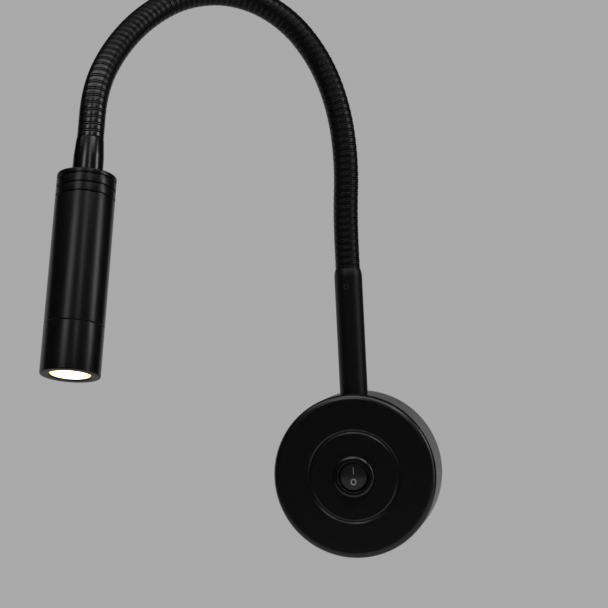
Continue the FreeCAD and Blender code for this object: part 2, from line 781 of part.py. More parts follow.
def switch_housing():
    """Round collar and body with bearings for the rocker's trunnions and two snap lugs."""
    face, back = -dim.cover_depth, -dim.barrel_end
    inner_face = face + dim.cover_front_wall
    hole, barrel = dim.rocker_hole, dim.barrel_radius
    shell = revolved("switch_shell", [
        (hole, face - dim.bezel_proud),
        (dim.bezel_radius, face - dim.bezel_proud, dim.bezel_edge),
        (dim.bezel_radius, face),
        (barrel, face),
        (barrel, back),
        (0, back),
        (0, back - dim.barrel_floor),
        (hole, back - dim.barrel_floor),
    ])
    half = dim.clip_width / 2
    clip = (inner_face + dim.screw_gap, inner_face + dim.screw_gap + dim.clip_length)
    inside = barrel - dim.clip_reach
    clips = [block("clip_left", (-barrel - dim.clip_reach, -inside), clip, (-half, half)),
             block("clip_right", (inside, barrel + dim.clip_reach), clip, (-half, half))]
    bearing_reach = dim.axle_reach + dim.screw_gap
    bearing = rod("axle_bearing", dim.axle_radius + dim.screw_gap, "x", (-bearing_reach, axle_y(), 0),
                  2 * bearing_reach)
    slots = [blade_block(name + "_slot", level, dim.screw_gap, back - dim.barrel_floor, back)
             for name, level in blade_levels()]
    named("switch_housing", cut("switch_housing", joined("switch_solid", [shell] + clips), [bearing] + slots))


def blade_levels():
    return (("centre_blade", 0), ("end_blade", -dim.contact_half + dim.blade_thick / 2))


def blade_block(name, level, gap, front, back):
    half, thick = dim.blade_width / 2 + gap, dim.blade_thick / 2 + gap
    return block(name, (-half, half), (front, back), (level - thick, level + thick))


def rocker_place():
    """The rocker's own frame: its origin on the axle, its Y axis into the wall, upper side pressed in."""
    return Placement(Vector(0, float(axle_y()), 0), Rotation(Vector(1, 0, 0), -float(dim.rocker_tilt)))


def rocker_flat(side):
    """Everything in front of the upper (1) or lower (-1) flat of the rocker's face."""
    wide = 2 * dim.rocker_radius
    span = (0, wide) if side == 1 else (-wide, 0)
    front = block(f"rocker_front_{side + 1}", (-wide, wide), (-wide, 0), span)
    lean = group(f"rocker_flat_{side + 1}", [front])
    lean.Placement = Placement(Vector(0, -float(dim.rocker_valley), 0),
                               Rotation(Vector(1, 0, 0), side * float(dim.rocker_tilt)))
    return lean


def rocker_well():
    """The spring's well reaches from the stem's end to the rocker's disc."""
    return dim.rocker_skirt, dim.stem_length - dim.rocker_skirt


def switch_rocker():
    """Rocker whose face is two flats that meet in a shallow valley, with trunnions and a hollow stem."""
    radius = dim.rocker_radius
    disc = rod("rocker_disc", radius, "y", (0, -radius, 0), radius + dim.rocker_skirt)
    face = cut("rocker_face", disc, [rocker_flat(1), rocker_flat(-1)])
    axle = rod("rocker_axle", dim.axle_radius, "x", (-dim.axle_reach, 0, 0), 2 * dim.axle_reach)
    stem = rod("rocker_stem", dim.stem_radius, "y", (0, 0, 0), dim.stem_length)
    start, depth = rocker_well()
    well = rod("rocker_well", dim.plunger_radius + dim.seat_gap, "y", (0, start, 0), depth)
    rocker = named("switch_rocker", cut("switch_rocker", joined("rocker_solid", [face, axle, stem]), [well]))
    back = start + dim.spring_length
    spring = named("switch_spring", cut(
        "switch_spring", rod("spring_body", dim.plunger_radius, "y", (0, start, 0), dim.spring_length),
        [rod("spring_hole", dim.spring_bore, "y", (0, start, 0), dim.spring_length)]))
    plunger = named("switch_plunger", joined("switch_plunger", [
        rod("plunger_rod", dim.plunger_radius, "y", (0, back, 0), dim.plunger_tip - back),
        ball("plunger_ball", dim.plunger_radius, (0, dim.plunger_tip, 0))]))
    for piece in (rocker, spring, plunger):
        piece.Placement = rocker_place()


def contact_y():
    """The contact strip rocks about its middle."""
    return axle_y() + dim.contact_below + dim.contact_thick / 2


def switch_contact():
    """Contact strip that the plunger rocks, and the two blades under it."""
    half, thick, wide = dim.contact_half, dim.contact_thick / 2, dim.contact_width / 2
    strip = group("switch_contact", [block("contact_strip", (-wide, wide), (-thick, thick), (-half, half))])
    strip.Placement = Placement(Vector(0, float(contact_y()), 0),
                                Rotation(Vector(1, 0, 0), float(dim.contact_tilt)))
    named("switch_contact", strip)
    middle_top = contact_y() + thick + dim.moving_gap
    end_top = middle_top + half * math.sin(math.radians(float(dim.contact_tilt)))
    tops = (middle_top, end_top)
    named("switch_blades", group("switch_blades", [
        blade_block(name, level, 0, top, -dim.blade_end) for (name, level), top in zip(blade_levels(), tops)
    ]))


# ---------------------------------------------------------------- wires inside the base


def bent_edges(points, radius):
    """Straight runs joined by tangent arcs."""
    edges, start = [], points[0]
    for before, corner, after in zip(points, points[1:], points[2:]):
        back = (before - corner).normalize()
        ahead = (after - corner).normalize()
        half = back.getAngle(ahead) / 2
        reach = radius / math.tan(half)
        bisector = (back + ahead).normalize()
        middle = corner + bisector * (radius / math.sin(half) - radius)
        edges.append(Part.LineSegment(start, corner + back * reach).toShape())
        edges.append(Part.Arc(corner + back * reach, middle, corner + ahead * reach).toShape())
        start = corner + ahead * reach
    edges.append(Part.LineSegment(start, points[-1]).toShape())
    return edges


def swept_tube(edges, radius, ahead):
    """A round solid along the edges, with its volume checked against its section times its length."""
    path = Part.Wire(edges)
    profile = Part.Wire(Part.makeCircle(radius, edges[0].Vertexes[0].Point, ahead))
    tube = path.makePipeShell([profile], True, False)
    if abs(tube.Volume / (math.pi * radius**2 * path.Length) - 1) > TUBE_TOLERANCE:
        raise RuntimeError("a tube's volume isn't its section times its length")
    return tube


def shaped(label, shape, place=Placement()):
    """A sub-part whose shape is set here."""
    obj = doc.addObject("Part::Feature", label)
    obj.Shape = shape
    obj.Placement = place
    return named(label, obj)


def wires():
    """Live wires to and from the switch, the neutral wire to the driver and the earth wire."""
    radius, bend = float(dim.wire_radius), float(dim.wire_bend)
    neutral, live, earth = [float(level) for level in pole_levels()]
    block_left = float(dim.block_left)
    start = block_left + float(dim.wire_grip)
    driver_inside = -float(dim.driver_right + dim.driver_wall)
    blade_side = float(dim.blade_width / 2)
    blade_level = float(blade_levels()[1][1])
    to_left = Vector(-1, 0, 0)

    def across(x, z):
        return Vector(x, float(wire_y()), z)

    to_switch = [across(start, live), across(block_left - float(dim.wire_lead_out), live),
                 across(blade_side + bend, blade_level), across(blade_side, blade_level)]
    from_switch = [across(-blade_side, live), across(driver_inside, live)]
    to_driver = [across(start, neutral), across(driver_inside, neutral)]
    washer_face = -float(dim.bracket_thick + dim.earth_washer_thick)
    lying = washer_face - radius
    earth_x, earth_z = float(dim.earth_across), -float(dim.earth_drop)
    washer_edge = earth_z + float(dim.earth_washer_radius)
    head_edge = earth_z + float(dim.fixing_head_radius + dim.seat_gap)
    to_earth = [across(start, earth), across(earth_x, earth),
                Vector(earth_x, lying, washer_edge), Vector(earth_x, lying, head_edge)]
    live_tubes = [swept_tube(bent_edges(points, bend), radius, to_left) for points in (to_switch, from_switch)]
    shaped("wire_live", Part.makeCompound(live_tubes))
    shaped("wire_neutral", swept_tube(bent_edges(to_driver, bend), radius, to_left))
    shaped("wire_earth", swept_tube(bent_edges(to_earth, float(dim.earth_bend)), radius, to_left))


# ---------------------------------------------------------------- arm socket and tube


def arm_socket():
    """Cast socket inside the base that holds the tube, screwed to the cover's two posts."""
    side = dim.tube_radius + dim.socket_side_wall
    near = dim.tube_radius + dim.socket_wall
    low = socket_bottom()
    high = low + dim.socket_height
    ear_back = -dim.cover_depth + dim.cover_front_wall + dim.post_length + dim.ear_thick
    ear_half = dim.ear_height / 2
    axis = -dim.arm_off_wall
    body = block("socket_body", (-side, side), (axis - near, axis + near), (low, high))
    ears = block("socket_ears", (-dim.ear_reach, dim.ear_reach), (ear_back - dim.ear_thick, ear_back),
                 (post_level() - ear_half, post_level() + ear_half))
    holes = [
        rod("socket_bore", dim.tube_radius + dim.seat_gap, "z", (0, axis, tube_seat()), dim.socket_height),
        rod("socket_way", dim.tube_bore, "z", (0, axis, low), dim.socket_floor),
        rod("clamp_thread", dim.clamp_radius + dim.screw_gap, "x", (0, axis, post_level()), side),
    ]
    screws = []
    for end in (-1, 1):
        across = end * dim.post_across
        holes.append(rod(f"ear_way_{end + 1}", plate_hole(), "y",
                         (across, ear_back - dim.ear_thick, post_level()), dim.ear_thick))
        screws.append(screw(f"socket_screw_{end + 1}", dim.fixing_screw_radius,
                            dim.ear_thick + dim.post_length, facing_wall(across, ear_back, post_level())))
    named("arm_socket", cut("arm_socket", joined("socket_solid", [body, ears]), holes))
    named("socket_screws", group("socket_screws", screws))
    named("clamp_screw", grub("clamp_screw", dim.clamp_radius, dim.socket_side_wall,
                              facing(side, axis, post_level(), (1, 0, 0))))


def shoulder_radius():
    """Radius of the long rounding at the mouth of the tube and of the ferrule."""
    rise, drop = dim.shoulder_rise, dim.shoulder_drop
    return (rise * rise + drop * drop) / (2 * drop)


def plug_hole():
    return dim.hose_plug + dim.screw_gap


def tube_top():
    return dim.cover_radius + dim.tube_rise


def arm_tube():
    """Straight tube; its upper end narrows in a long rounding and takes the hose's plain end."""
    top, outer = tube_top(), dim.tube_radius
    upright = Placement(Vector(0, -float(dim.arm_off_wall), 0), Rotation(Vector(1, 0, 0), 90))
    tube = revolved("tube_turned", [
        (dim.tube_bore, tube_seat()),
        (outer, tube_seat()),
        (outer, top - dim.shoulder_rise, None, shoulder_radius()),
        (outer - dim.shoulder_drop, top),
        (plug_hole(), top),
        (plug_hole(), top - dim.plug_length),
        (dim.tube_bore, top - dim.plug_length),
    ], upright)
    level = top - dim.hose_screw_drop
    hole = rod("hose_screw_thread", dim.hose_screw_radius + dim.screw_gap, "y",
               (0, -dim.arm_off_wall - outer, level), outer)
    named("arm_tube", cut("arm_tube", tube, [hole]))
    named("hose_screw", grub("hose_screw", dim.hose_screw_radius, outer - plug_hole() - dim.seat_gap,
                             facing_front(0, -dim.arm_off_wall - outer + dim.seat_gap, level)))


# ---------------------------------------------------------------- gooseneck


def gooseneck():
    """Pivots of the links and the gooseneck's direction at each, from the base to the head."""
    count = len(LINK_BENDS)
    tilt, directions = 0, []
    for number in range(count + 1):
        share = number / count
        azimuth = math.radians(float(dim.azimuth_first) * (1 - share) + float(dim.azimuth_last) * share)
        lean = math.radians(tilt)
        directions.append(Vector(-math.cos(azimuth) * math.sin(lean), -math.sin(azimuth) * math.sin(lean),
                                 math.cos(lean)))
        if number < count:
            tilt += LINK_BENDS[number]
    pivots = [Vector(0, -float(dim.arm_off_wall), float(tube_top() + dim.hose_foot))]
    for first, last in zip(directions, directions[1:]):
        pivots.append(pivots[-1] + link_chord(first, last))
    return pivots, directions


def link_chord(first, last):
    """From one end of a link to the other: the chord of an arc between two directions."""
    angle = first.getAngle(last)
    return (first + last).normalize() * (float(dim.link_length) * math.sin(angle / 2) / (angle / 2))


def along(position, bend, length):
    """Point and direction at a distance along a link's middle: an arc in its own XZ plane, then straight."""
    if bend == 0:
        return Vector(0, 0, position), Vector(0, 0, 1)
    radius = length / bend
    angle = min(position / radius, bend)
    ahead = Vector(math.sin(angle), 0, math.cos(angle))
    return Vector(radius * (1 - math.cos(angle)), 0, radius * math.sin(angle)) + ahead * (
        position - angle * radius), ahead


def rib_circles(length, count, end):
    """Distances and radii of the rings that shape the ribs, four for each rib."""
    pitch = length / count
    rise, crest = float(dim.rib_rise), float(dim.rib_crest)
    inset = (1 - crest - 2 * rise) / 2
    low, high = float(dim.hose_root), float(dim.hose_radius)
    rings = [(0, low)]
    for number in range(math.ceil(end / pitch)):
        for share, radius in ((inset, low), (inset + rise, high), (inset + rise + crest, high),
                              (inset + 2 * rise + crest, low)):
            position = (number + share) * pitch
            if position < end:
                rings.append((position, radius))
    return rings + [(end, rings[-1][1])]


def ring(position, radius, bend, length):
    """A circle square to the link's middle whose own X axis always points the same way."""
    middle, ahead = along(position, bend, length)
    circle = Part.makeCircle(radius)
    circle.Placement = Placement(middle, Rotation(Vector(0, 1, 0), Vector(), ahead, "ZXY"))
    return Part.Wire(circle)


def ribbed(length, bend, round_end, hollow_start, plug_before=0, plug_after=0):
    """A ribbed link in its own frame: pivot at the origin, Z along the hose, bent toward X.

    Its end is round about the next pivot, and its start is hollowed about its own pivot, so that
    neighbours stay apart by the moving gap while they turn.
    """
    reach = float(dim.ball_radius)
    count = max(1, round(length / (float(dim.link_length) / float(dim.ribs_per_link))))
    end = length + (reach if round_end else 0)
    rings = rib_circles(length, count, end)
    solid = Part.makeLoft([ring(*item, bend, length) for item in rings], True, True)
    bore = Part.makeLoft([ring(*item, bend, length) for item in
                          ((position, float(dim.hose_bore)) for position in bore_steps(length, end, bend))],
                         True, True)
    tools = [bore]
    plugs = []
    if hollow_start:
        tools.append(Part.makeSphere(reach + float(dim.moving_gap)))
    if round_end:
        middle, ahead = along(length, bend, length)
        outside = Part.makeCylinder(2 * reach, 2 * reach, middle, ahead)
        tools.append(outside.cut(Part.makeSphere(reach, middle)))
    for start, extent in ((-plug_before, plug_before), (length, plug_after)):
        if extent:
            plug = Part.makeCylinder(float(dim.hose_plug), extent, Vector(0, 0, start))
            plugs.append(plug.cut(Part.makeCylinder(float(dim.hose_bore), extent, Vector(0, 0, start))))
    solid = solid.cut(tools)
    return (solid.fuse(plugs) if plugs else solid).Solids[0]


def bore_steps(length, end, bend):
    """Where the bore's rings lie: close together only where the link bends."""
    steps = max(1, math.ceil(abs(math.degrees(bend)) / BORE_STEP))
    places = [number * length / steps for number in range(steps + 1)]
    return places + ([end] if end > length else [])


def hose():
    """The ribbed hose: a foot in the tube, the links, and a tip in the ferrule."""
    pivots, directions = gooseneck()
    foot, plug = float(dim.hose_foot), float(dim.plug_length)
    start = Placement(pivots[0] - directions[0] * foot, Rotation(Vector(0, 0, 1), directions[0]))
    shaped("hose_foot", ribbed(foot, 0, True, False, plug_before=plug), start)
    for number, (first, last) in enumerate(zip(directions, directions[1:])):
        normal = first.cross(last).normalize()
        toward = normal.cross(first)
        place = Placement(pivots[number], Rotation(toward, normal, first, "ZXY"))
        shape = ribbed(float(dim.link_length), first.getAngle(last), True, True)
        shaped(f"hose_link_{number + 1:02d}", shape, place)
    place = Placement(pivots[-1], Rotation(Vector(0, 0, 1), directions[-1]))
    shaped("hose_tip", ribbed(foot, 0, False, True, plug_after=plug), place)


def hose_lead():
    """Lead from the driver through the tube and the hose to the LED board."""
    pivots, directions = gooseneck()
    across, out = float(lead_entry_x()), -float(dim.arm_off_wall)
    inside = float(dim.driver_height / 2 - dim.driver_wall - dim.lead_inside)
    points = [Vector(across, out, inside),
              Vector(across, out, float(dim.driver_height / 2 + dim.lead_turn_rise)),
              Vector(0, out, float(socket_bottom() - dim.lead_rise_drop)), pivots[0]]
    edges = bent_edges(points, float(dim.lead_bend))
    for number, (first, last) in enumerate(zip(directions, directions[1:])):
        start, end = pivots[number], pivots[number + 1]
        angle = first.getAngle(last)
        outward = (first - last).normalize()
        sagitta = float(dim.link_length) / angle * (1 - math.cos(angle / 2))
        edges.append(Part.Arc(start, (start + end) / 2 + outward * sagitta, end).toShape())
    tip = pivots[-1] + directions[-1] * float(dim.hose_foot + sink_front() - dim.seat_gap)
    edges.append(Part.LineSegment(pivots[-1], tip).toShape())
    shaped("hose_lead", swept_tube(edges, float(dim.lead_radius), Vector(0, 0, 1)))


# ---------------------------------------------------------------- head


def head_place():
    """The head's own frame: its origin where the hose ends, its Y axis toward the light opening."""
    pivots, directions = gooseneck()
    ahead = directions[-1]
    return Placement(pivots[-1] + ahead * float(dim.hose_foot), Rotation(Vector(0, 1, 0), ahead))


def head_end():
    return dim.ferrule_length + dim.head_length


def seam():
    return head_end() - dim.collar_length


def sink_front():
    return seam() - dim.thread_length


def collar_bore():
    return dim.head_radius - dim.head_wall - dim.screw_gap - dim.thread_wall


def head_ferrule():
    """Ferrule that takes the hose's plain end, with a threaded end through the head's top."""
    outer, top = dim.tube_radius, dim.ferrule_length
    end = top + dim.head_cap + dim.washer_thick + dim.nut_thick + dim.seat_gap
    named("head_ferrule", revolved("head_ferrule", [
        (plug_hole(), dim.plug_length),
        (dim.spigot_bore, dim.plug_length),
        (dim.spigot_bore, end),
        (dim.spigot_radius, end),
        (dim.spigot_radius, top),
        (outer + dim.ferrule_flare, top),
        (outer, dim.shoulder_rise, None, shoulder_radius()),
        (outer - dim.shoulder_drop, 0),
        (plug_hole(), 0),
    ], head_place()))


def head_fixings():
    """Washer and nut on the ferrule's thread, inside the head."""
    seat = dim.ferrule_length + dim.head_cap
    hole = dim.spigot_radius + dim.screw_gap
    washer = revolved("head_washer", [
        (hole, seat), (dim.nut_radius, seat), (dim.nut_radius, seat + dim.washer_thick),
        (hole, seat + dim.washer_thick)], head_place())
    named("head_washer", washer)
    nut_seat = seat + dim.washer_thick
    body = put(doc.addObject("Part::Prism", "nut_body"), (0, nut_seat, 0), AXIS_TURNS["y"])
    body.Polygon = 6
    bind(body, "Circumradius", dim.nut_radius)
    bind(body, "Height", dim.nut_thick)
    nut = cut("head_nut", body, [rod("nut_thread", hole, "y", (0, nut_seat, 0), dim.nut_thick)])
    nut.Placement = head_place()
    named("head_nut", nut)


def head_shell():
    """Turned aluminium head with three grooves near its top and a step for the heat sink."""
    outer, top, end = dim.head_radius, dim.ferrule_length, seam()
    inner = outer - dim.head_wall
    ledge = sink_front() - dim.sink_depth
    grooves = []
    for number in range(int(dim.groove_count.number)):
        middle = top + dim.groove_first + number * dim.groove_step
        low, high = middle - dim.groove_width / 2, middle + dim.groove_width / 2
        floor = outer - dim.groove_depth
        grooves += [(outer, low), (floor, low), (floor, high), (outer, high)]
    named("head_shell", revolved("head_shell", [
        (dim.spigot_radius + dim.screw_gap, top),
        (outer, top, dim.head_edge),
    ] + grooves + [
        (outer, end - dim.seam_chamfer),
        (outer - dim.seam_chamfer, end),
        (inner, end),
        (inner, ledge),
        (inner - dim.head_ledge, ledge),
        (inner - dim.head_ledge, top + dim.head_cap),
        (dim.spigot_radius + dim.screw_gap, top + dim.head_cap),
    ], head_place()))


def heat_sink():
    """Slotted aluminium heat sink behind the LED board, on the head's step."""
    front, back = sink_front(), sink_front() - dim.sink_depth
    outer = dim.head_radius - dim.head_wall - dim.screw_gap
    hole = dim.lead_radius + dim.seat_gap
    turned = revolved("sink_turned", [(hole, back), (outer, back), (outer, front), (hole, front)])
    tools = []
    for number in range(int(dim.sink_slots.number)):
        half = dim.sink_slot / 2
        slot = block(f"sink_slot_{number}", (outer - dim.sink_slot_depth, outer), (back, front - dim.sink_base),
                     (-half, half))
        place = group(f"sink_slot_place_{number}", [slot])
        turn = (number + 0.5) * 360 / float(dim.sink_slots)
        place.Placement = Placement(Vector(), Rotation(Vector(0, 1, 0), turn))
        tools.append(place)
    bite = dim.board_screw_bite
    for side in (-1, 1):
        tools.append(rod(f"sink_thread_{side + 1}", dim.board_screw_radius + dim.screw_gap, "y",
                         (side * board_screw_across(), front - bite, 0), bite))
    sink = cut("heat_sink", turned, tools)
    sink.Placement = head_place()
    named("heat_sink", sink)


def led_board_radius():
    return collar_bore() - dim.board_gap


def board_screw_across():
    """LED board's screws from the head's middle."""
    return led_board_radius() - dim.board_screw_inset


def reflector_small():
    """Inner radius of the reflector's small end, between the board's screws."""
    return board_screw_across() - dim.board_head_radius - dim.reflector_gap - dim.reflector_skin


def led_radius():
    return reflector_small() - dim.led_gap


def led_unit():
    """LED board with its screws, and the LED."""
    back = sink_front()
    front = back + dim.board_thick
    board = rod("led_board_disc", led_board_radius(), "y", (0, back, 0), dim.board_thick)
    holes, screws = [], []
    for side in (-1, 1):
        across = side * board_screw_across()
        holes.append(rod(f"led_board_hole_{side + 1}", dim.board_screw_radius + dim.screw_gap, "y",
                         (across, back, 0), dim.board_thick))
        screws.append(screw(f"led_board_screw_{side + 1}", dim.board_screw_radius,
                            dim.board_thick + dim.board_screw_bite, facing_wall(across, front, 0),
                            dim.board_head_radius, dim.board_head_thick))
    pieces = (
        named("led_board", cut("led_board", board, holes)),
        named("led_board_screws", group("led_board_screws", screws)),
        named("led", joined("led", [
            rod("led_base", led_radius(), "y", (0, front, 0), dim.led_base_height),
            rod("led_chip", led_radius() - dim.led_frame, "y", (0, front + dim.led_base_height, 0),
                dim.led_chip_height)])),
    )
    for piece in pieces:
        piece.Placement = head_place()


def rim_opening():
    """Radius of the light opening."""
    return dim.head_radius - dim.rim_width


def head_optics():
    """Reflector, glass and seal, held by the front collar."""
    board_front = sink_front() + dim.board_thick
    seal_back = head_end() - dim.rim_thick - dim.seal_thick
    glass_back = seal_back - dim.glass_thick
    fit = collar_bore() - dim.seat_gap
    skin, small, large = dim.reflector_skin, reflector_small(), fit - dim.reflector_lip
    named("reflector", revolved("reflector", [
        (small, board_front),
        (small + skin, board_front),
        (large + skin / 2, glass_back - skin),
        (fit, glass_back - skin),
        (fit, glass_back),
        (large, glass_back),
    ], head_place()))
    raised, glass_front = rim_opening() - dim.moving_gap, head_end() - dim.glass_inset
    named("glass", revolved("glass", [
        (0, glass_back), (fit, glass_back), (fit, seal_back), (raised, seal_back),
        (raised, glass_front, dim.glass_edge), (0, glass_front)], head_place()))
    ring_hole = rim_opening() + dim.moving_gap
    named("glass_seal", revolved("glass_seal", [
        (ring_hole, seal_back), (fit, seal_back), (fit, seal_back + dim.seal_thick),
        (ring_hole, seal_back + dim.seal_thick)], head_place()))


def front_collar():
    """Front collar of the head: a thread inside the head, and a rim round the light opening."""
    outer, start, end = dim.head_radius, seam(), head_end()
    bore, opening = collar_bore(), rim_opening()
    thread = bore + dim.thread_wall
    named("front_collar", revolved("front_collar", [
        (bore, start - dim.thread_length),
        (thread, start - dim.thread_length),
        (thread, start),
        (outer - dim.seam_chamfer, start),
        (outer, start + dim.seam_chamfer),
        (outer, end, dim.head_edge),
        (opening + dim.rim_chamfer, end),
        (opening, end - dim.rim_chamfer),
        (opening, end - dim.rim_thick),
        (bore, end - dim.rim_thick),
    ], head_place()))


# ---------------------------------------------------------------- build and write


def build():
    for make in (
        wall_bracket, base_cover, cover_screws, cable_grommet, terminal_block, plate_screws, driver,
        switch_housing, switch_rocker, switch_contact, wires, arm_socket, arm_tube, hose, hose_lead,
        head_ferrule, head_fixings, head_shell, heat_sink, led_unit, head_optics, front_collar,
    ):
        make()
    doc.recompute()
    for obj in doc.Objects:
        if {"Invalid", "Error"} & set(obj.State):
            raise RuntimeError(f"{obj.Label} failed: {obj.State}")
    for node in NODES:
        if node.Shape.isNull() or not node.Shape.isValid():
            raise RuntimeError(f"{node.Label} has no valid shape")


def write():
    os.makedirs("parts", exist_ok=True)
    for node in NODES:
        node.Shape.exportStep(f"parts/{node.Label}.step")


build()
write()
print(f"{len(NODES)} sub-parts written")
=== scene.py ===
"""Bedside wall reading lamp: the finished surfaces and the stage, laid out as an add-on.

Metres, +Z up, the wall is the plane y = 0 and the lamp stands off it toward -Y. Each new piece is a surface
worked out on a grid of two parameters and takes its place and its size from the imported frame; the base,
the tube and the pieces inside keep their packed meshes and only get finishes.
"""

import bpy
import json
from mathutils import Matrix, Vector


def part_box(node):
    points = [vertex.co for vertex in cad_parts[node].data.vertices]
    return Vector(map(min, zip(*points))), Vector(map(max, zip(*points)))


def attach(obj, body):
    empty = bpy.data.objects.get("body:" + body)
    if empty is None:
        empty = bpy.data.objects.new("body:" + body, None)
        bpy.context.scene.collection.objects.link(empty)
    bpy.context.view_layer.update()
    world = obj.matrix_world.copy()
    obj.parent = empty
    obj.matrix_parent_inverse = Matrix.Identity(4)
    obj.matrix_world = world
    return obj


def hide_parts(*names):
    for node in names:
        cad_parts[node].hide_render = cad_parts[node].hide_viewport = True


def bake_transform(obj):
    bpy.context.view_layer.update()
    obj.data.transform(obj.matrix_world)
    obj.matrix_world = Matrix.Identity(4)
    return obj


bl_info = {
    "name": "Bedside wall reading lamp",
    "version": (1, 0, 0),
    "blender": (4, 5, 0),
    "location": "View3D > Sidebar > Reading lamp",
    "description": "Builds a gooseneck wall reading lamp and its studio stage",
    "category": "Object",
}

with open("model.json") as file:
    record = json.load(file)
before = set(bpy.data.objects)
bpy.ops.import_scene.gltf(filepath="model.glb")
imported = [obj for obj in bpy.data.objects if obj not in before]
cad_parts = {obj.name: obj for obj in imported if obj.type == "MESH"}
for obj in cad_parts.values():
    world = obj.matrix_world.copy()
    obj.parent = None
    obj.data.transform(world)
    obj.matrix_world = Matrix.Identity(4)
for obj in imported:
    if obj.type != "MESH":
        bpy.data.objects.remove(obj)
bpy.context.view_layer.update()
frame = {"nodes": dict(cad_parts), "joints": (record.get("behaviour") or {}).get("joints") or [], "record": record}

import json
import math

import bmesh
import bpy
import numpy as np
from bpy.props import FloatProperty, FloatVectorProperty, IntProperty, PointerProperty
from mathutils import Matrix, Vector

MM = 0.001
FULL_TURN = 2 * math.pi


def middle_of(node):
    """Middle of a node's box."""
    low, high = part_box(node)
    return (low + high) / 2


# ---------------------------------------------------------------- settings a user would change


def length_setting(name, description, default):
    return FloatProperty(name=name, description=description, default=default, subtype="DISTANCE",
                         unit="LENGTH", precision=5, min=0)


def colour_setting(name, description, default):
    return FloatVectorProperty(name=name, description=description, default=default, subtype="COLOR",
                               size=3, min=0, max=1)


class LampSizes(bpy.types.PropertyGroup):
    """Sizes of the lamp's shown surfaces."""

    bezel_radius: length_setting("Switch collar", "Radius of the switch's round collar", 10.15 * MM)
    rocker_radius: length_setting("Rocker", "Radius of the rocker's face", 6.75 * MM)
    tube_radius: length_setting("Tube", "Radius of the straight tube and of the ferrule", 6.8 * MM)
    hose_radius: length_setting("Hose", "Radius over the hose's ribs", 6 * MM)
    groove_depth: length_setting("Hose groove", "Depth of the groove between two ribs", 0.22 * MM)
    rib_pitch: length_setting("Rib pitch", "From one rib of the hose to the next", 3.275 * MM)
    head_radius: length_setting("Head", "Radius of the cylindrical head", 13.25 * MM)
    opening_radius: length_setting("Light opening", "Radius of the light opening", 9.2 * MM)
    smoothness: IntProperty(name="Smoothness", description="Points round a full circle", default=128,
                            min=24, max=256)


class LampColours(bpy.types.PropertyGroup):
    """Colours and light of the lamp."""

    base: colour_setting("Base", "Paint of the round base", (0.006, 0.006, 0.0062))
    tube: colour_setting("Tube", "Paint of the tube and the ferrule", (0.005, 0.005, 0.0055))
    hose: colour_setting("Hose", "Finish of the ribbed hose", (0.0035, 0.0035, 0.0037))
    # Paler colour of the ribs' crests: a painted sheen, which leaves the grooves darker as painted shade.
    hose_crest_sheen: colour_setting("Rubbed ribs", "Ribs' crests where hands rub them", (0.0065, 0.0065, 0.0065))
    head: colour_setting("Head", "Anodised finish of the head", (0.006, 0.006, 0.0065))
    switch: colour_setting("Switch", "Plastic of the switch", (0.007, 0.007, 0.007))
    marks: colour_setting("Switch marks", "Printed marks on the rocker", (0.55, 0.55, 0.54))
    light: colour_setting("Light", "Warm light at the rim of the lit glass", (0.42, 0.27, 0.11))
    light_strength: FloatProperty(name="Light strength", description="Strength of the lit glass", default=5,
                                  min=0, soft_max=20)


class StageSettings(bpy.types.PropertyGroup):
    """Camera and studio light."""

    camera_place: FloatVectorProperty(name="Camera", description="Place of the camera",
                                      default=(0.147, -0.850, 0.10396), subtype="TRANSLATION", unit="LENGTH")
    camera_yaw: FloatProperty(name="Yaw", description="Turn of the view to the right of +Y",
                              default=math.radians(-11.465), subtype="ANGLE", unit="ROTATION")
    camera_pitch: FloatProperty(name="Pitch", description="Tilt of the view above level",
                                default=math.radians(-1.308), subtype="ANGLE", unit="ROTATION")
    camera_roll: FloatProperty(name="Roll", description="Turn of the camera about its view",
                               default=math.radians(-2.871), subtype="ANGLE", unit="ROTATION")
    focal_length: FloatProperty(name="Focal length", description="Camera's focal length in millimetres",
                                default=102.62, min=10, max=300, subtype="DISTANCE_CAMERA")
    floor_level: FloatProperty(name="Floor", description="Height of the floor", default=-0.30,
                               subtype="DISTANCE", unit="LENGTH")
    backdrop: colour_setting("Backdrop", "Pale grey of the floor and the background", (0.40, 0.40, 0.405))


# ---------------------------------------------------------------- surfaces on a grid


def grid_faces(rows, columns, wrap_rows, wrap_columns):
    """Corner numbers of a grid's quads; a wrapped side joins its last line to its first."""
    index = np.arange(rows * columns).reshape(rows, columns)
    if wrap_rows:
        index = np.vstack([index, index[:1]])
    if wrap_columns:
        index = np.hstack([index, index[:, :1]])
    return np.stack([index[:-1, :-1], index[:-1, 1:], index[1:, 1:], index[1:, :-1]], axis=-1).reshape(-1, 4)


def make_piece(name, points, faces, sharp=40):
    """A mesh with doubles merged, faces outward, and edges over the angle `sharp` in degrees kept crisp."""
    mesh = bpy.data.meshes.new(name)
    mesh.from_pydata(points.tolist(), [], faces.tolist())
    work = bmesh.new()
    work.from_mesh(mesh)
    bmesh.ops.remove_doubles(work, verts=work.verts, dist=1e-7)
    bmesh.ops.dissolve_degenerate(work, edges=work.edges, dist=1e-8)
    bmesh.ops.recalc_face_normals(work, faces=work.faces)
    work.to_mesh(mesh)
    work.free()
    mesh.shade_smooth()
    mesh.set_sharp_from_angle(angle=math.radians(sharp))
    piece = bpy.data.objects.new(name, mesh)
    bpy.context.scene.collection.objects.link(piece)
    return piece


def placed(points, place):
    """Points of any grid turned and moved by a 4 x 4 matrix."""
    matrix = np.array(place)
    return points @ matrix[:3, :3].T + matrix[:3, 3]


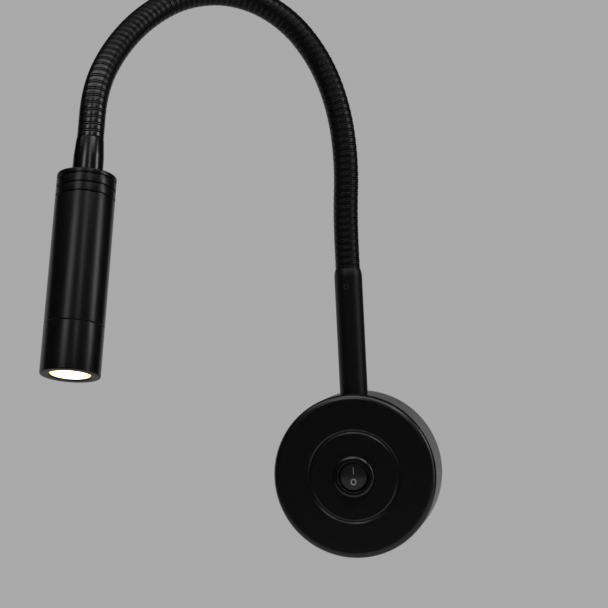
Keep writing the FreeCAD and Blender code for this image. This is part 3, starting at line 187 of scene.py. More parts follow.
def rounded_line(corners, closed=True, steps=6):
    """A line through corners (place..., radius), each corner replaced by an arc of its radius.

    The arc touches both edges of its corner at radius / tan(half the corner's angle) from it, and its
    centre lies on the corner's bisector at radius / sin(half the angle).
    """
    places = np.array([corner[:-1] for corner in corners], float)
    line = []
    for number, corner in enumerate(corners):
        place, radius = places[number], corner[-1]
        ends = not closed and number in (0, len(corners) - 1)
        if radius == 0 or ends:
            line.append(place[None, :])
            continue
        back = places[number - 1] - place
        ahead = places[(number + 1) % len(corners)] - place
        back, ahead = back / np.linalg.norm(back), ahead / np.linalg.norm(ahead)
        half = math.acos(np.clip(back @ ahead, -1, 1)) / 2
        bisector = (back + ahead) / np.linalg.norm(back + ahead)
        centre = place + bisector * radius / math.sin(half)
        first = place + back * radius / math.tan(half) - centre
        last = place + ahead * radius / math.tan(half) - centre
        sweep = math.acos(np.clip(first @ last / radius**2, -1, 1))
        share = np.linspace(0, 1, steps + 1)[:, None]
        arc = (np.sin((1 - share) * sweep) * first + np.sin(share * sweep) * last) / math.sin(sweep)
        line.append(centre + arc)
    return np.vstack(line)


def lathe(name, profile, place, around, outline=None):
    """A profile (distance from the axis, height) turned about its own Y axis: (r cos a, height, r sin a).

    With an outline, two factors for each angle take the place of cos a and sin a.
    """
    angle = np.arange(around) * FULL_TURN / around
    across = np.stack([np.cos(angle), np.sin(angle)]) if outline is None else outline(angle)
    radius, height = profile[:, :1], profile[:, 1:]
    grid = np.stack([radius * across[0], height + 0 * across[0], radius * across[1]], axis=-1)
    faces = grid_faces(len(profile), around, True, True)
    return make_piece(name, placed(grid.reshape(-1, 3), place), faces)


def finish_piece(piece, body, slot, material, *nodes):
    """Give a piece its material and its body, and hide the packed nodes that it stands for; the slot is not used.
    """
    piece.data.materials.append(material)
    if body:
        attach(piece, body)
    if nodes:
        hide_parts(*nodes)
    return piece


# ---------------------------------------------------------------- the gooseneck's line

HOSE_JOINTS = [joint for joint in frame["joints"] if joint["name"].startswith("hose_")]
PIVOTS = np.array([joint["pos_m"] for joint in HOSE_JOINTS])
LINK = 26.2 * MM  # from one pivot to the next
FOOT = 12 * MM  # from the first pivot back to the tube's mouth, and from the last on to the ferrule's
PLUG = 12 * MM  # how far the hose goes into the tube and the ferrule
UP = np.array([0.0, 0.0, 1.0])


def pivot_directions():
    """Direction of the gooseneck at each pivot.

    Each link is an arc, so its two end directions mirror each other about its chord c:
    the next direction is 2 (c . d) c - d.
    """
    directions = [UP]
    for first, last in zip(PIVOTS, PIVOTS[1:]):
        chord = (last - first) / np.linalg.norm(last - first)
        directions.append(2 * (chord @ directions[-1]) * chord - directions[-1])
    return np.array(directions)


DIRECTIONS = pivot_directions()
HOSE_END = PIVOTS[-1] + DIRECTIONS[-1] * FOOT


def head_place():
    """The head's own frame: origin where the hose ends, Y toward the light opening."""
    ahead = Vector(DIRECTIONS[-1])
    turn = Vector((0, 1, 0)).rotation_difference(ahead).to_matrix().to_4x4()
    return Matrix.Translation(Vector(HOSE_END)) @ turn


HEAD = head_place()


def along_hose(distance):
    """Place and direction at distances along the gooseneck's middle, 0 at the first pivot.

    Between two pivots it is an arc of radius R = link / turn: place = pivot + R sin(s/R) d +
    R (1 - cos(s/R)) n, with n the side that it turns to. Before the first and after the last it is straight.
    """
    count = len(PIVOTS) - 1
    number = np.clip(np.floor(distance / LINK).astype(int), 0, count - 1)
    local = np.clip(distance - number * LINK, 0, LINK)
    first, last = DIRECTIONS[number], DIRECTIONS[number + 1]
    turn = np.arccos(np.clip((first * last).sum(1), -1, 1))
    side = last - first * (first * last).sum(1)[:, None]
    side /= np.linalg.norm(side, axis=1)[:, None]
    radius = (LINK / turn)[:, None]
    angle = local[:, None] / radius
    place = PIVOTS[number] + radius * (np.sin(angle) * first + (1 - np.cos(angle)) * side)
    direction = np.cos(angle) * first + np.sin(angle) * side
    beyond = np.minimum(distance, 0) + np.maximum(distance - count * LINK, 0)
    return place + beyond[:, None] * direction, direction


def carried_frames(directions, start=(1.0, 0.0, 0.0)):
    """Two unit vectors square to each direction, carried along without twist."""
    across = np.array(start)
    frames = []
    for direction in directions:
        across = across - (across @ direction) * direction
        across = across / np.linalg.norm(across)
        frames.append(across)
    frames = np.array(frames)
    return frames, np.cross(directions, frames)


def tube_grid(places, frames, radius):
    """Points at radius (one for each row and angle) round each place: place + r (cos a u + sin a v)."""
    around = radius.shape[1]
    angle = np.arange(around) * FULL_TURN / around
    first, second = frames
    ring = np.cos(angle)[None, :, None] * first[:, None, :] + np.sin(angle)[None, :, None] * second[:, None, :]
    return places[:, None, :] + radius[:, :, None] * ring


# ---------------------------------------------------------------- materials


class Nodes:
    """A short way to add and link shader nodes."""

    def __init__(self, name):
        self.material = bpy.data.materials.new(name)
        self.material.use_nodes = True
        self.tree = self.material.node_tree
        self.shader = self.tree.nodes["Principled BSDF"]

    def feed(self, socket, value):
        """Link an output into a socket, or set the socket's own value."""
        if isinstance(value, bpy.types.NodeSocket):
            self.tree.links.new(value, socket)
        else:
            socket.default_value = value

    def add(self, kind, inputs=None, **settings):
        node = self.tree.nodes.new(kind)
        for key, value in settings.items():
            setattr(node, key, value)
        for key, value in (inputs or {}).items():
            self.feed(node.inputs[key], value)
        return node

    def set(self, **values):
        """Set or link the shader's own sockets; an underscore stands for a space."""
        for key, value in values.items():
            self.feed(self.shader.inputs[key.replace("_", " ")], value)

    def place(self, turn=None, scale=(1, 1, 1)):
        """Object coordinates, turned into a piece's own frame and scaled."""
        coordinates = self.add("ShaderNodeTexCoord").outputs["Object"]
        rotation = turn.to_euler() if turn else (0, 0, 0)
        return self.add("ShaderNodeMapping", {"Vector": coordinates, "Rotation": rotation, "Scale": scale},
                        vector_type="POINT").outputs["Vector"]

    def noise(self, place, scale, detail=3.0, roughness=0.5):
        return self.add("ShaderNodeTexNoise", {"Vector": place, "Scale": scale, "Detail": detail,
                                               "Roughness": roughness}).outputs["Fac"]

    def between(self, value, low, high):
        """The value from 0 to 1 turned into a number from low to high."""
        return self.ramp(value, 0.0, 1.0, low, high)

    def ramp(self, value, start, stop, low, high, **settings):
        """A number that goes from low to high while the value goes from start to stop."""
        return self.add("ShaderNodeMapRange", {"Value": value, "From Min": start, "From Max": stop,
                                               "To Min": low, "To Max": high}, **settings).outputs["Result"]

    def combined(self, operation, first, second):
        return self.add("ShaderNodeMath", {0: first, 1: second}, operation=operation).outputs[0]

    def distance(self, centre):
        """Distance of a point of the surface from a fixed place."""
        here = self.add("ShaderNodeTexCoord").outputs["Object"]
        node = self.add("ShaderNodeVectorMath", {0: here, 1: tuple(centre)}, operation="DISTANCE")
        return node.outputs["Value"]

    def mixed(self, share, first, second):
        """The first colour turned into the second by that share; sockets 6 and 7 are the node's colours."""
        node = self.add("ShaderNodeMix", {0: share}, data_type="RGBA")
        for number, colour in ((6, first), (7, second)):
            self.feed(node.inputs[number], colour if isinstance(colour, bpy.types.NodeSocket) else (*colour, 1))
        return node.outputs[2]

    def bump(self, height, depth):
        """A bump of that depth in metres."""
        return self.add("ShaderNodeBump", {"Height": height, "Distance": depth,
                                           "Strength": 1.0}).outputs["Normal"]


def lighter(colour, factor):
    return tuple(min(1.0, value * factor) for value in colour)


def surface_finish(name, colour, roughness, spread, grain, depth, metallic=0.0, specular=0.5):
    """A finish whose bump follows a fine grain, its roughness a wider noise and its tone a slow one."""
    nodes = Nodes(name)
    here = nodes.place()
    fine = nodes.noise(here, grain, 4.0)
    slow = nodes.noise(here, 45.0, 2.0)
    rub = nodes.noise(here, 260.0, 5.0, 0.65)
    nodes.set(
        Base_Color=nodes.mixed(slow, colour, lighter(colour, 1.25)),
        Roughness=nodes.between(rub, roughness - spread, roughness + spread),
        Metallic=metallic, Specular_IOR_Level=specular, Normal=nodes.bump(fine, depth),
    )
    return nodes.material


def hose_finish(colour, crest_sheen):
    """Black hose with dull grooves; its crests are smoother and painted paler as a sheen, most toward the head,
    which leaves the grooves darker as painted shade.
    """
    nodes = Nodes("hose_black")
    here = nodes.place()
    crest = nodes.add("ShaderNodeAttribute", attribute_name="crest").outputs["Fac"]
    # Strength of the painted sheen: full near the head, falling to 0.4 of it 50 mm away.
    sheen_near_head = nodes.ramp(nodes.distance(HOSE_END), 10 * MM, 50 * MM, 1.0, 0.4)
    patchy = nodes.between(nodes.noise(here, 320.0, 5.0, 0.7), 0.8, 1.0)
    share = nodes.combined("MULTIPLY", crest, nodes.combined("MULTIPLY", sheen_near_head, patchy))
    nodes.set(
        # Crests painted paler toward the sheen colour as a painted highlight; the grooves keep the darker colour
        # as painted shade.
        Base_Color=nodes.mixed(share, colour, crest_sheen),
        Roughness=nodes.between(share, 0.45, 0.22), Specular_IOR_Level=nodes.between(share, 0.1, 1.0),
        Normal=nodes.bump(nodes.noise(here, 2600.0, 3.0), 0.02 * MM),
    )
    return nodes.material


def anodised_finish(name, colour):
    """Black anodised aluminium with fine turning marks square to the head's axis."""
    nodes = Nodes(name)
    turn = HEAD.to_3x3().transposed()
    marks = nodes.noise(nodes.place(turn, (60, 9000, 60)), 1.0, 2.0)
    cloud = nodes.noise(nodes.place(turn, (1, 6, 1)), 60.0, 3.0)
    nodes.set(
        Base_Color=nodes.mixed(cloud, colour, lighter(colour, 1.5)),
        Roughness=nodes.between(cloud, 0.24, 0.34),
        Specular_IOR_Level=0.4, Normal=nodes.bump(marks, 0.004 * MM),
    )
    return nodes.material


def lit_glass(colour, strength, radius):
    """Frosted glass lit from behind: brightest in the middle, warmer toward the rim."""
    nodes = Nodes("glass_frosted")
    share = nodes.ramp(nodes.distance(middle_of("glass")), 0.62 * radius, radius, 0.0, 1.0,
                       interpolation_type="SMOOTHSTEP")
    warm = nodes.mixed(share, (1.0, 0.93, 0.80), colour)
    frost = nodes.noise(nodes.place(), 3500.0, 3.0)
    nodes.set(Base_Color=(1.0, 0.97, 0.92, 1), Roughness=0.45, Emission_Color=warm,
              Emission_Strength=strength, Normal=nodes.bump(frost, 0.01 * MM))
    return nodes.material


# How each class of the record's materials looks on the pieces inside the lamp.
CLASS_LOOKS = {
    "painted_metal": {"roughness": 0.38, "spread": 0.07, "grain": 1500.0, "depth": 0.012 * MM},
    "brushed_steel": {"roughness": 0.36, "spread": 0.08, "grain": 900.0, "depth": 0.006 * MM, "metallic": 1.0},
    "aluminium": {"roughness": 0.34, "spread": 0.08, "grain": 1100.0, "depth": 0.006 * MM, "metallic": 1.0},
    "brass": {"roughness": 0.30, "spread": 0.08, "grain": 1200.0, "depth": 0.005 * MM, "metallic": 1.0},
    "rubber": {"roughness": 0.70, "spread": 0.08, "grain": 1800.0, "depth": 0.020 * MM},
    "matte_plastic": {"roughness": 0.52, "spread": 0.07, "grain": 2200.0, "depth": 0.012 * MM},
    "gloss_plastic": {"roughness": 0.24, "spread": 0.05, "grain": 700.0, "depth": 0.004 * MM},
}


def record_finish(slot):
    """The procedural finish of one of the record's material slots."""
    row = next(item for item in frame["record"]["materials"] if item["slot"] == slot)
    return surface_finish(slot + "_inner", tuple(row["base_color"]), **CLASS_LOOKS[row["class"]])


# ---------------------------------------------------------------- the base


def dress(node, material):
    """A finish for a piece that stays as packed."""
    piece = frame["nodes"][node]
    piece.data.materials.clear()
    piece.data.materials.append(material)


class LAMP_OT_base(bpy.types.Operator):
    """Finish the round base in satin black paint"""

    bl_idname = "lamp.base"
    bl_label = "Base"

    def execute(self, context):
        colours = context.scene.lamp_colours
        dress("base_cover", surface_finish("base_black", tuple(colours.base), 0.30, 0.05, 1300.0, 0.006 * MM,
                                            specular=0.8))
        return {"FINISHED"}


# ---------------------------------------------------------------- the switch

AXLE = next(joint for joint in frame["joints"] if joint["name"] == "rocker_tilt")["pos_m"][1]
ROCKER_TILT = math.radians(9)
ROCKER_VALLEY = 1.3 * MM
ROCKER_SOFT = 1.4 * MM
ROCKER_EDGE = 0.45 * MM
ROCKER_SKIRT = 1.5 * MM
SKIRT_EDGE = 0.2 * MM

BEZEL_PROUD = 2 * MM
BEZEL_EDGE = 1.4 * MM
ROCKER_HOLE = 7.35 * MM
BARREL_RADIUS = 8.6 * MM
BARREL_END = -10.5 * MM
BARREL_FLOOR = 1.5 * MM

PRINT_THICK = 0.03 * MM
BAR_HALF_LENGTH = 1.7 * MM
BAR_HALF_WIDTH = 0.15 * MM
RING_ACROSS = 1.35 * MM
RING_TALL = 1.55 * MM
RING_STROKE = 0.3  # share of the oval's radius
BAR_LEVEL = 2.75 * MM
RING_LEVEL = -2.7 * MM


def rocker_frame():
    """The rocker's own frame: origin on its axle, Y into the wall, upper side pressed in."""
    return Matrix.Translation((0, AXLE, 0)) @ Matrix.Rotation(-ROCKER_TILT, 4, "X")


def rocker_face(z):
    """Height of the rocker's face at z: two flats that rise from a softly rounded valley."""
    return -ROCKER_VALLEY - np.tan(ROCKER_TILT) * (np.sqrt(z**2 + ROCKER_SOFT**2) - ROCKER_SOFT)


def rocker_mesh(radius, around):
    """Rocker: a disc whose front follows rocker_face, with a rounded rim, closed behind by a flat.

    Within e of the rim the front drops as the quarter of a circle: at the distance r from the middle by
    e (1 - sqrt(1 - ((r - R + e) / e)^2)).
    """
    edge = ROCKER_EDGE
    flat_rows, rim_rows = 26, 9
    inner = np.linspace(0, radius - edge, flat_rows)
    rim = radius - edge + edge * np.sin(np.linspace(0, math.pi / 2, rim_rows)[1:])
    distance = np.concatenate([inner, rim])
    angle = np.arange(around) * FULL_TURN / around
    x, z = distance[:, None] * np.cos(angle), distance[:, None] * np.sin(angle)
    into = np.clip((distance - radius + edge) / edge, 0, 1)
    drop = edge * (1 - np.sqrt(1 - into**2))
    front = np.stack([x, rocker_face(z) + drop[:, None], z], axis=-1)
    back_radius = np.array([radius, radius - SKIRT_EDGE, 0.0])
    back_level = np.array([ROCKER_SKIRT - SKIRT_EDGE, ROCKER_SKIRT, ROCKER_SKIRT])
    back = np.stack([back_radius[:, None] * np.cos(angle), back_level[:, None] + 0 * angle,
                     back_radius[:, None] * np.sin(angle)], axis=-1)
    grid = np.concatenate([front, back])
    faces = grid_faces(len(grid), around, False, True)
    return make_piece("rocker", placed(grid.reshape(-1, 3), rocker_frame()), faces, sharp=60)


def mark_mesh(name, level, outline, profile, around=48):
    """A printed mark on one of the rocker's flats: a thin closed profile laid along an outline.

    A point of the profile (share, height) lies at share times the outline, on the flat, plus its height.
    """
    angle = np.arange(around) * FULL_TURN / around
    x, z = outline(angle)
    share, height = profile[:, :1], profile[:, 1:]
    px, pz = share * x, level + share * z
    grid = np.stack([px, rocker_face(pz) - height, pz], axis=-1)
    faces = grid_faces(len(profile), len(angle), True, True)
    return make_piece(name, placed(grid.reshape(-1, 3), rocker_frame()), faces)


def bar_outline(angle):
    """A straight bar with round ends: a circle stretched by moving its halves apart."""
    apart = np.sign(np.sin(angle)) * (BAR_HALF_LENGTH - BAR_HALF_WIDTH)
    return BAR_HALF_WIDTH * np.cos(angle), BAR_HALF_WIDTH * np.sin(angle) + apart


def ring_outline(angle):
    """An upright oval."""
    return RING_ACROSS * np.cos(angle), RING_TALL * np.sin(angle)


class LAMP_OT_switch(bpy.types.Operator):
    """Build the switch's collar, its rocker and the two printed marks"""

    bl_idname = "lamp.switch"
    bl_label = "Rocker switch"

    def execute(self, context):
        sizes, colours = context.scene.lamp_sizes, context.scene.lamp_colours
        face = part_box("base_cover")[0][1]
        profile = rounded_line([
            (ROCKER_HOLE, face - BEZEL_PROUD, 0.35 * MM),
            (sizes.bezel_radius, face - BEZEL_PROUD, BEZEL_EDGE),
            (sizes.bezel_radius, face, 0.1 * MM),
            (BARREL_RADIUS, face, 0.1 * MM),
            (BARREL_RADIUS, BARREL_END, 0.2 * MM),
            (0.0, BARREL_END, 0),
            (0.0, BARREL_END - BARREL_FLOOR, 0),
            (ROCKER_HOLE, BARREL_END - BARREL_FLOOR, 0.3 * MM),
        ])
        gloss = surface_finish("collar_black", tuple(colours.switch), 0.24, 0.05, 900.0, 0.003 * MM,
                               specular=0.8)
        matte = surface_finish("switch_black", lighter(colours.switch, 2.2), 0.46, 0.06, 3200.0, 0.02 * MM)
        print_white = surface_finish("mark_print", tuple(colours.marks), 0.5, 0.05, 2500.0, 0.002 * MM)
        finish_piece(lathe("switch_collar", profile, Matrix(), sizes.smoothness), "base", "collar_black",
                     gloss, "switch_housing")
        finish_piece(rocker_mesh(sizes.rocker_radius, sizes.smoothness), "rocker", "switch_black", matte,
                     "switch_rocker")
        for name, level, outline, inner in (("mark_on", BAR_LEVEL, bar_outline, 0),
                                            ("mark_off", RING_LEVEL, ring_outline, 1 - RING_STROKE)):
            section = np.array([[inner, -1], [1, -1], [1, 1], [inner, 1]]) * [1, PRINT_THICK]
            finish_piece(mark_mesh(name, level, outline, section), "rocker", "switch_black", print_white)
        return {"FINISHED"}


# ---------------------------------------------------------------- the tube


class LAMP_OT_tube(bpy.types.Operator):
    """Finish the straight tube in black paint"""

    bl_idname = "lamp.tube"
    bl_label = "Tube"

    def execute(self, context):
        colours = context.scene.lamp_colours
        dress("arm_tube", surface_finish("tube_black", tuple(colours.tube), 0.42, 0.05, 1400.0, 0.006 * MM,
                                         specular=0.4))
        return {"FINISHED"}


# ---------------------------------------------------------------- the ribbed hose and its lead

WIDE_BAND = (0.35, 0.33)  # middle and half the width, as shares of the pitch
NARROW_BAND = (0.84, 0.09)
ROWS_PER_PITCH = 32
HOSE_AROUND = 60
BORE_STEP = 8
PLUG_RADIUS = 5.3 * MM
HOSE_BORE = 3.9 * MM
CREST = 0.12 * MM

LEAD_RADIUS = 1.5 * MM
LEAD_ROWS = 24
LEAD_AROUND = 20
LEAD_REACH = 86.9 * MM  # from the last pivot to the lead's end at the LED board


def rib_height(phase):
    """Share of the ribs' height over one pitch: a wide slightly crowned band, a groove and a narrow band.

    With u the distance from a band's middle over half its width, the wide band is 1 - 0.12 u^2 - 0.88 u^16 and
    the narrow one 0.95 - 0.95 u^12. The higher of the two shows.
    """
    wide, narrow = ((phase % 1.0 - middle) / half for middle, half in (WIDE_BAND, NARROW_BAND))
    return np.clip(np.maximum(1 - 0.12 * wide**2 - 0.88 * wide**16, 0.95 - 0.95 * narrow**12), 0, 1)


class LAMP_OT_hose(bpy.types.Operator):
    """Build the ribbed hose and the lead inside it, one piece for each pivot"""

    bl_idname = "lamp.hose"
    bl_label = "Ribbed hose"

    def execute(self, context):
        sizes, colours = context.scene.lamp_sizes, context.scene.lamp_colours
        count = len(PIVOTS)
        end = (count - 1) * LINK
        finish = hose_finish(tuple(colours.hose), tuple(colours.hose_crest_sheen))
        sheath = record_finish("lead_black")
        middles = [-FOOT - PLUG] + [(number + 0.5) * LINK for number in range(count - 1)] + [end + FOOT + PLUG]
        for number, (start, stop) in enumerate(zip(middles, middles[1:])):
            piece, distance = self.length_of_hose(number, start, stop, end, sizes)
            self.hang(piece, number, distance, "hose_black", finish)
            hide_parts(*self.nodes_of(number, count))
            lead_stop = end + LEAD_REACH if number == count - 1 else stop
            lead_rows = np.linspace(start, lead_stop, LEAD_ROWS)
            lead = self.length_of_lead(number, lead_rows)
            self.hang(lead, number, lead_rows, "lead_black", sheath)
            if number == 0:
                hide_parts("hose_lead")
        return {"FINISHED"}

    def nodes_of(self, number, count):
        if number == 0:
            return ["hose_foot"]
        return [f"hose_link_{number:02d}"] + (["hose_tip"] if number == count - 1 else [])

    def length_of_hose(self, number, start, stop, end, sizes):
        """A length of hose: at distance s and angle a its radius is R - depth (1 - rib(s / pitch - a / 2 pi)).

        It is plain where it goes into the tube or the ferrule. The bore closes it inside.
        """
        angle = np.arange(HOSE_AROUND) * FULL_TURN / HOSE_AROUND
        rows = max(2, round((stop - start) * ROWS_PER_PITCH / sizes.rib_pitch)) + 1
        distance = np.linspace(start, stop, rows)
        places, directions = along_hose(distance)
        frames = carried_frames(directions, hose_start_vector(start))
        share = rib_height(distance[:, None] / sizes.rib_pitch - angle[None, :] / FULL_TURN)
        radius = sizes.hose_radius - sizes.groove_depth * (1 - share)
        radius[(distance < -FOOT) | (distance > end + FOOT)] = PLUG_RADIUS
        inside = np.append(np.arange(rows)[::-BORE_STEP], 0)
        bore = np.full((len(inside), HOSE_AROUND), HOSE_BORE)
        grid = np.concatenate([tube_grid(places, frames, radius),
                               tube_grid(places[inside], tuple(item[inside] for item in frames), bore)])
        faces = grid_faces(len(grid), HOSE_AROUND, True, True)
        piece = make_piece(f"hose_{number + 1:02d}", grid.reshape(-1, 3), faces, sharp=75)
        mark_crests(piece, sizes.hose_radius, places)
        return piece, distance

    def length_of_lead(self, number, distance):
        """Round lead of constant radius, closed at both ends."""
        places, directions = along_hose(distance)
        frames = carried_frames(directions)
        radius = np.full((len(places), LEAD_AROUND), LEAD_RADIUS)
        radius = np.vstack([0 * radius[:1], radius, 0 * radius[:1]])
        places = np.vstack([places[:1], places, places[-1:]])
        frames = tuple(np.vstack([item[:1], item, item[-1:]]) for item in frames)
        grid = tube_grid(places, frames, radius)
        faces = grid_faces(len(grid), LEAD_AROUND, False, True)
        return make_piece(f"lead_{number + 1:02d}", grid.reshape(-1, 3), faces)

    def hang(self, piece, number, distance, slot, material):
        """Give the piece its material and bake its place into its mesh."""
        finish_piece(piece, None, slot, material)
        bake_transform(piece)


def hose_start_vector(distance):
    """The vector across the hose at a distance, carried without twist from the foot."""
    way = np.linspace(-FOOT - PLUG, distance, 400) if distance > -FOOT - PLUG else np.array([distance])
    return carried_frames(along_hose(way)[1])[0][-1]


def mark_crests(piece, radius, places):
    """Write an attribute that is 1 on a rib's crest and 0 in a groove, from the distance to the middle line."""
    points = np.empty(len(piece.data.vertices) * 3)
    piece.data.vertices.foreach_get("co", points)
    points = points.reshape(-1, 3)
    nearest = np.full(len(points), np.inf)
    for start in range(0, len(places), 64):
        block = places[start:start + 64]
        gap = np.linalg.norm(points[:, None, :] - block[None, :, :], axis=2).min(axis=1)
        nearest = np.minimum(nearest, gap)
    crest = np.clip((nearest - radius + CREST) / CREST, 0, 1)
    attribute = piece.data.attributes.new("crest", "FLOAT", "POINT")
    attribute.data.foreach_set("value", crest.astype(np.float32))


# ---------------------------------------------------------------- the head

FERRULE = 17.5 * MM
FERRULE_CONE = 8 * MM
FERRULE_FLARE = 0.15 * MM
MOUTH_INSET = 0.6 * MM
PLUG_HOLE = 5.35 * MM
LEAD_HOLE = 2.4 * MM
SPIGOT = 5 * MM
SPIGOT_END = 26 * MM
SPIGOT_HOLE = 5.05 * MM

HEAD_LENGTH = 91 * MM
HEAD_WALL = 1.5 * MM
HEAD_ROOF = 3.4 * MM
HEAD_EDGE = 0.6 * MM
GROOVES = 3
FIRST_GROOVE = 2.4 * MM
GROOVE_PITCH = 4.2 * MM
GROOVE_WIDTH = 1 * MM
GROOVE_DEEP = 0.8 * MM

COLLAR_LENGTH = 22 * MM
COLLAR_BORE = 10.5 * MM
THREAD_RADIUS = 11.7 * MM
THREAD_LENGTH = 6 * MM
SEAM_BEVEL = 0.35 * MM
RIM_BEVEL = 0.7 * MM
RIM_THICK = 2 * MM
CRISP = 0.05 * MM
SMALL_EDGE = 0.1 * MM

GLASS_RADIUS = 10.4 * MM
GLASS_BACK = 5 * MM
GLASS_SEAT = 3 * MM
GLASS_INSET = 0.5 * MM
GLASS_GAP = 0.3 * MM


class LAMP_OT_head(bpy.types.Operator):
    """Build the ferrule, the grooved head and its front collar"""

    bl_idname = "lamp.head"
    bl_label = "Head"

    def execute(self, context):
        sizes, colours = context.scene.lamp_sizes, context.scene.lamp_colours
        around = sizes.smoothness
        outer = sizes.head_radius
        seam = FERRULE + HEAD_LENGTH - COLLAR_LENGTH
        end = FERRULE + HEAD_LENGTH
        paint = surface_finish("ferrule_black", tuple(colours.tube), 0.22, 0.04, 1400.0, 0.004 * MM,
                               specular=0.7)
        anodised = anodised_finish("head_black", tuple(colours.head))
        ferrule = rounded_line([
            (PLUG_HOLE, PLUG, 0), (LEAD_HOLE, PLUG, 0), (LEAD_HOLE, SPIGOT_END, 0),
            (SPIGOT, SPIGOT_END, 0.3 * MM), (SPIGOT, FERRULE, 0),
            (sizes.tube_radius + FERRULE_FLARE, FERRULE, FERRULE_FLARE),
            (sizes.tube_radius, FERRULE_CONE, 4 * MM), (sizes.tube_radius - MOUTH_INSET, 0, 0.3 * MM),
            (PLUG_HOLE, 0, 0)])
        finish_piece(lathe("ferrule", ferrule, HEAD, around), "head", "tube_black", paint, "head_ferrule")
        inner, floor, roof = outer - HEAD_WALL, outer - GROOVE_DEEP, FERRULE + HEAD_ROOF
        grooves = []
        for number in range(GROOVES):
            middle = FERRULE + FIRST_GROOVE + GROOVE_PITCH * number
            low, high = middle - GROOVE_WIDTH / 2, middle + GROOVE_WIDTH / 2
            grooves += [(outer, low, 0.15 * MM), (floor, low, 0.12 * MM), (floor, high, 0.12 * MM),
                        (outer, high, 0.15 * MM)]
        shell = rounded_line([
            (SPIGOT_HOLE, FERRULE, SMALL_EDGE), (outer, FERRULE, HEAD_EDGE), *grooves,
            (outer, seam - SEAM_BEVEL, CRISP), (outer - SEAM_BEVEL, seam, CRISP), (inner, seam, SMALL_EDGE),
            (inner, roof, 0.3 * MM), (SPIGOT_HOLE, roof, SMALL_EDGE)])
        finish_piece(lathe("head_cylinder", shell, HEAD, around), "head", "head_black", anodised, "head_shell")
        opening, back, ledge = sizes.opening_radius, seam - THREAD_LENGTH, end - RIM_THICK
        collar = rounded_line([
            (COLLAR_BORE, back, SMALL_EDGE), (THREAD_RADIUS, back, SMALL_EDGE), (THREAD_RADIUS, seam, 0),
            (outer - SEAM_BEVEL, seam, CRISP), (outer, seam + SEAM_BEVEL, CRISP), (outer, end, HEAD_EDGE),
            (opening + RIM_BEVEL, end, SMALL_EDGE), (opening, end - RIM_BEVEL, SMALL_EDGE),
            (opening, ledge, SMALL_EDGE), (COLLAR_BORE, ledge, SMALL_EDGE)])
        finish_piece(lathe("head_collar", collar, HEAD, around), "head", "head_black", anodised, "front_collar")
        return {"FINISHED"}


class LAMP_OT_light(bpy.types.Operator):
    """Build the lit frosted glass in the opening"""

    bl_idname = "lamp.light"
    bl_label = "Lit glass"

    def execute(self, context):
        sizes, colours = context.scene.lamp_sizes, context.scene.lamp_colours
        end = FERRULE + HEAD_LENGTH
        back, seat, front = end - GLASS_BACK, end - GLASS_SEAT, end - GLASS_INSET
        raised = sizes.opening_radius - GLASS_GAP
        profile = rounded_line([(0.0, back, 0), (GLASS_RADIUS, back, 0.2 * MM), (GLASS_RADIUS, seat, 0.2 * MM),
                                (raised, seat, SMALL_EDGE), (raised, front, 0.5 * MM), (0.0, front, 0)])
        glow = lit_glass(tuple(colours.light), colours.light_strength, sizes.opening_radius)
        finish_piece(lathe("lit_glass", profile, HEAD, sizes.smoothness), "head", "glass_frosted", glow,
                     "glass")
        return {"FINISHED"}


# ---------------------------------------------------------------- pieces inside


class LAMP_OT_inside(bpy.types.Operator):
    """Give every piece that stays as packed its own procedural finish"""

    bl_idname = "lamp.inside"
    bl_label = "Inner pieces"

    def execute(self, context):
        slots = {row["node"]: row["material_slot"] for row in frame["record"]["subparts"]}
        finishes = {}
        for node, piece in frame["nodes"].items():
            if piece.hide_render or node in ("base_cover", "arm_tube"):
                continue
            slot = slots[node]
            if slot not in finishes:
                finishes[slot] = record_finish(slot)
            piece.data.materials.clear()
            piece.data.materials.append(finishes[slot])
        return {"FINISHED"}


# ---------------------------------------------------------------- the stage

HEAD_MIDDLE = (middle_of("head_shell") + middle_of("front_collar")) / 2


def softbox(name, azimuth, elevation, distance, size, strength):
    """A soft rectangular light that faces the head, and isn't itself seen.

    It stands at distance (sin a cos e, -cos a cos e, sin e) from the head's middle, at azimuth a from the
    front and elevation e.
    """
    lamp = bpy.data.lights.new(name, "AREA")
    lamp.shape = "RECTANGLE"
    lamp.size, lamp.size_y = size
    lamp.energy = strength * size[0] * size[1]
    obj = bpy.data.objects.new(name, lamp)
    bpy.context.scene.collection.objects.link(obj)
    turn, rise = math.radians(azimuth), math.radians(elevation)
    way = Vector((math.sin(turn) * math.cos(rise), -math.cos(turn) * math.cos(rise), math.sin(rise)))
    obj.location = Vector(HEAD_MIDDLE) + distance * way
    obj.rotation_mode = "QUATERNION"
    obj.rotation_quaternion = (-way).to_track_quat("-Z", "Y")
    obj.visible_camera = False
    return obj


# Name, azimuth and elevation in degrees, distance, width and height in metres, and strength of each light.
SOFTBOXES = (
    ("softbox_right", 93, 18, 1.2, (0.22, 0.46), 15),
    ("softbox_low", 84, -8, 1.2, (0.22, 0.44), 5),
    ("softbox_rim", 74, 50, 1.3, (0.40, 0.30), 10),
    ("softbox_left", -14, 37, 1.5, (0.38, 0.7), 8),
    ("softbox_front", 34, 36, 1.6, (0.18, 0.7), 8),
    ("softbox_top", -10, 74, 1.3, (2.2, 0.5), 6),
)
# How much paler than the backdrop's colour the floor is where it is seen, so that it matches the background.
FLOOR_GAIN = 2.3
FLOOR_RADIUS = 1.2
FLOOR_FADE = (0.55, 1.15)

CLOTH_RADIUS = 2.4
HEM_LOW = -35
HEM_RISE = 50
OPENING_AZIMUTH = -150
OPENING_HALF = 70
OPENING_SOFT = 25


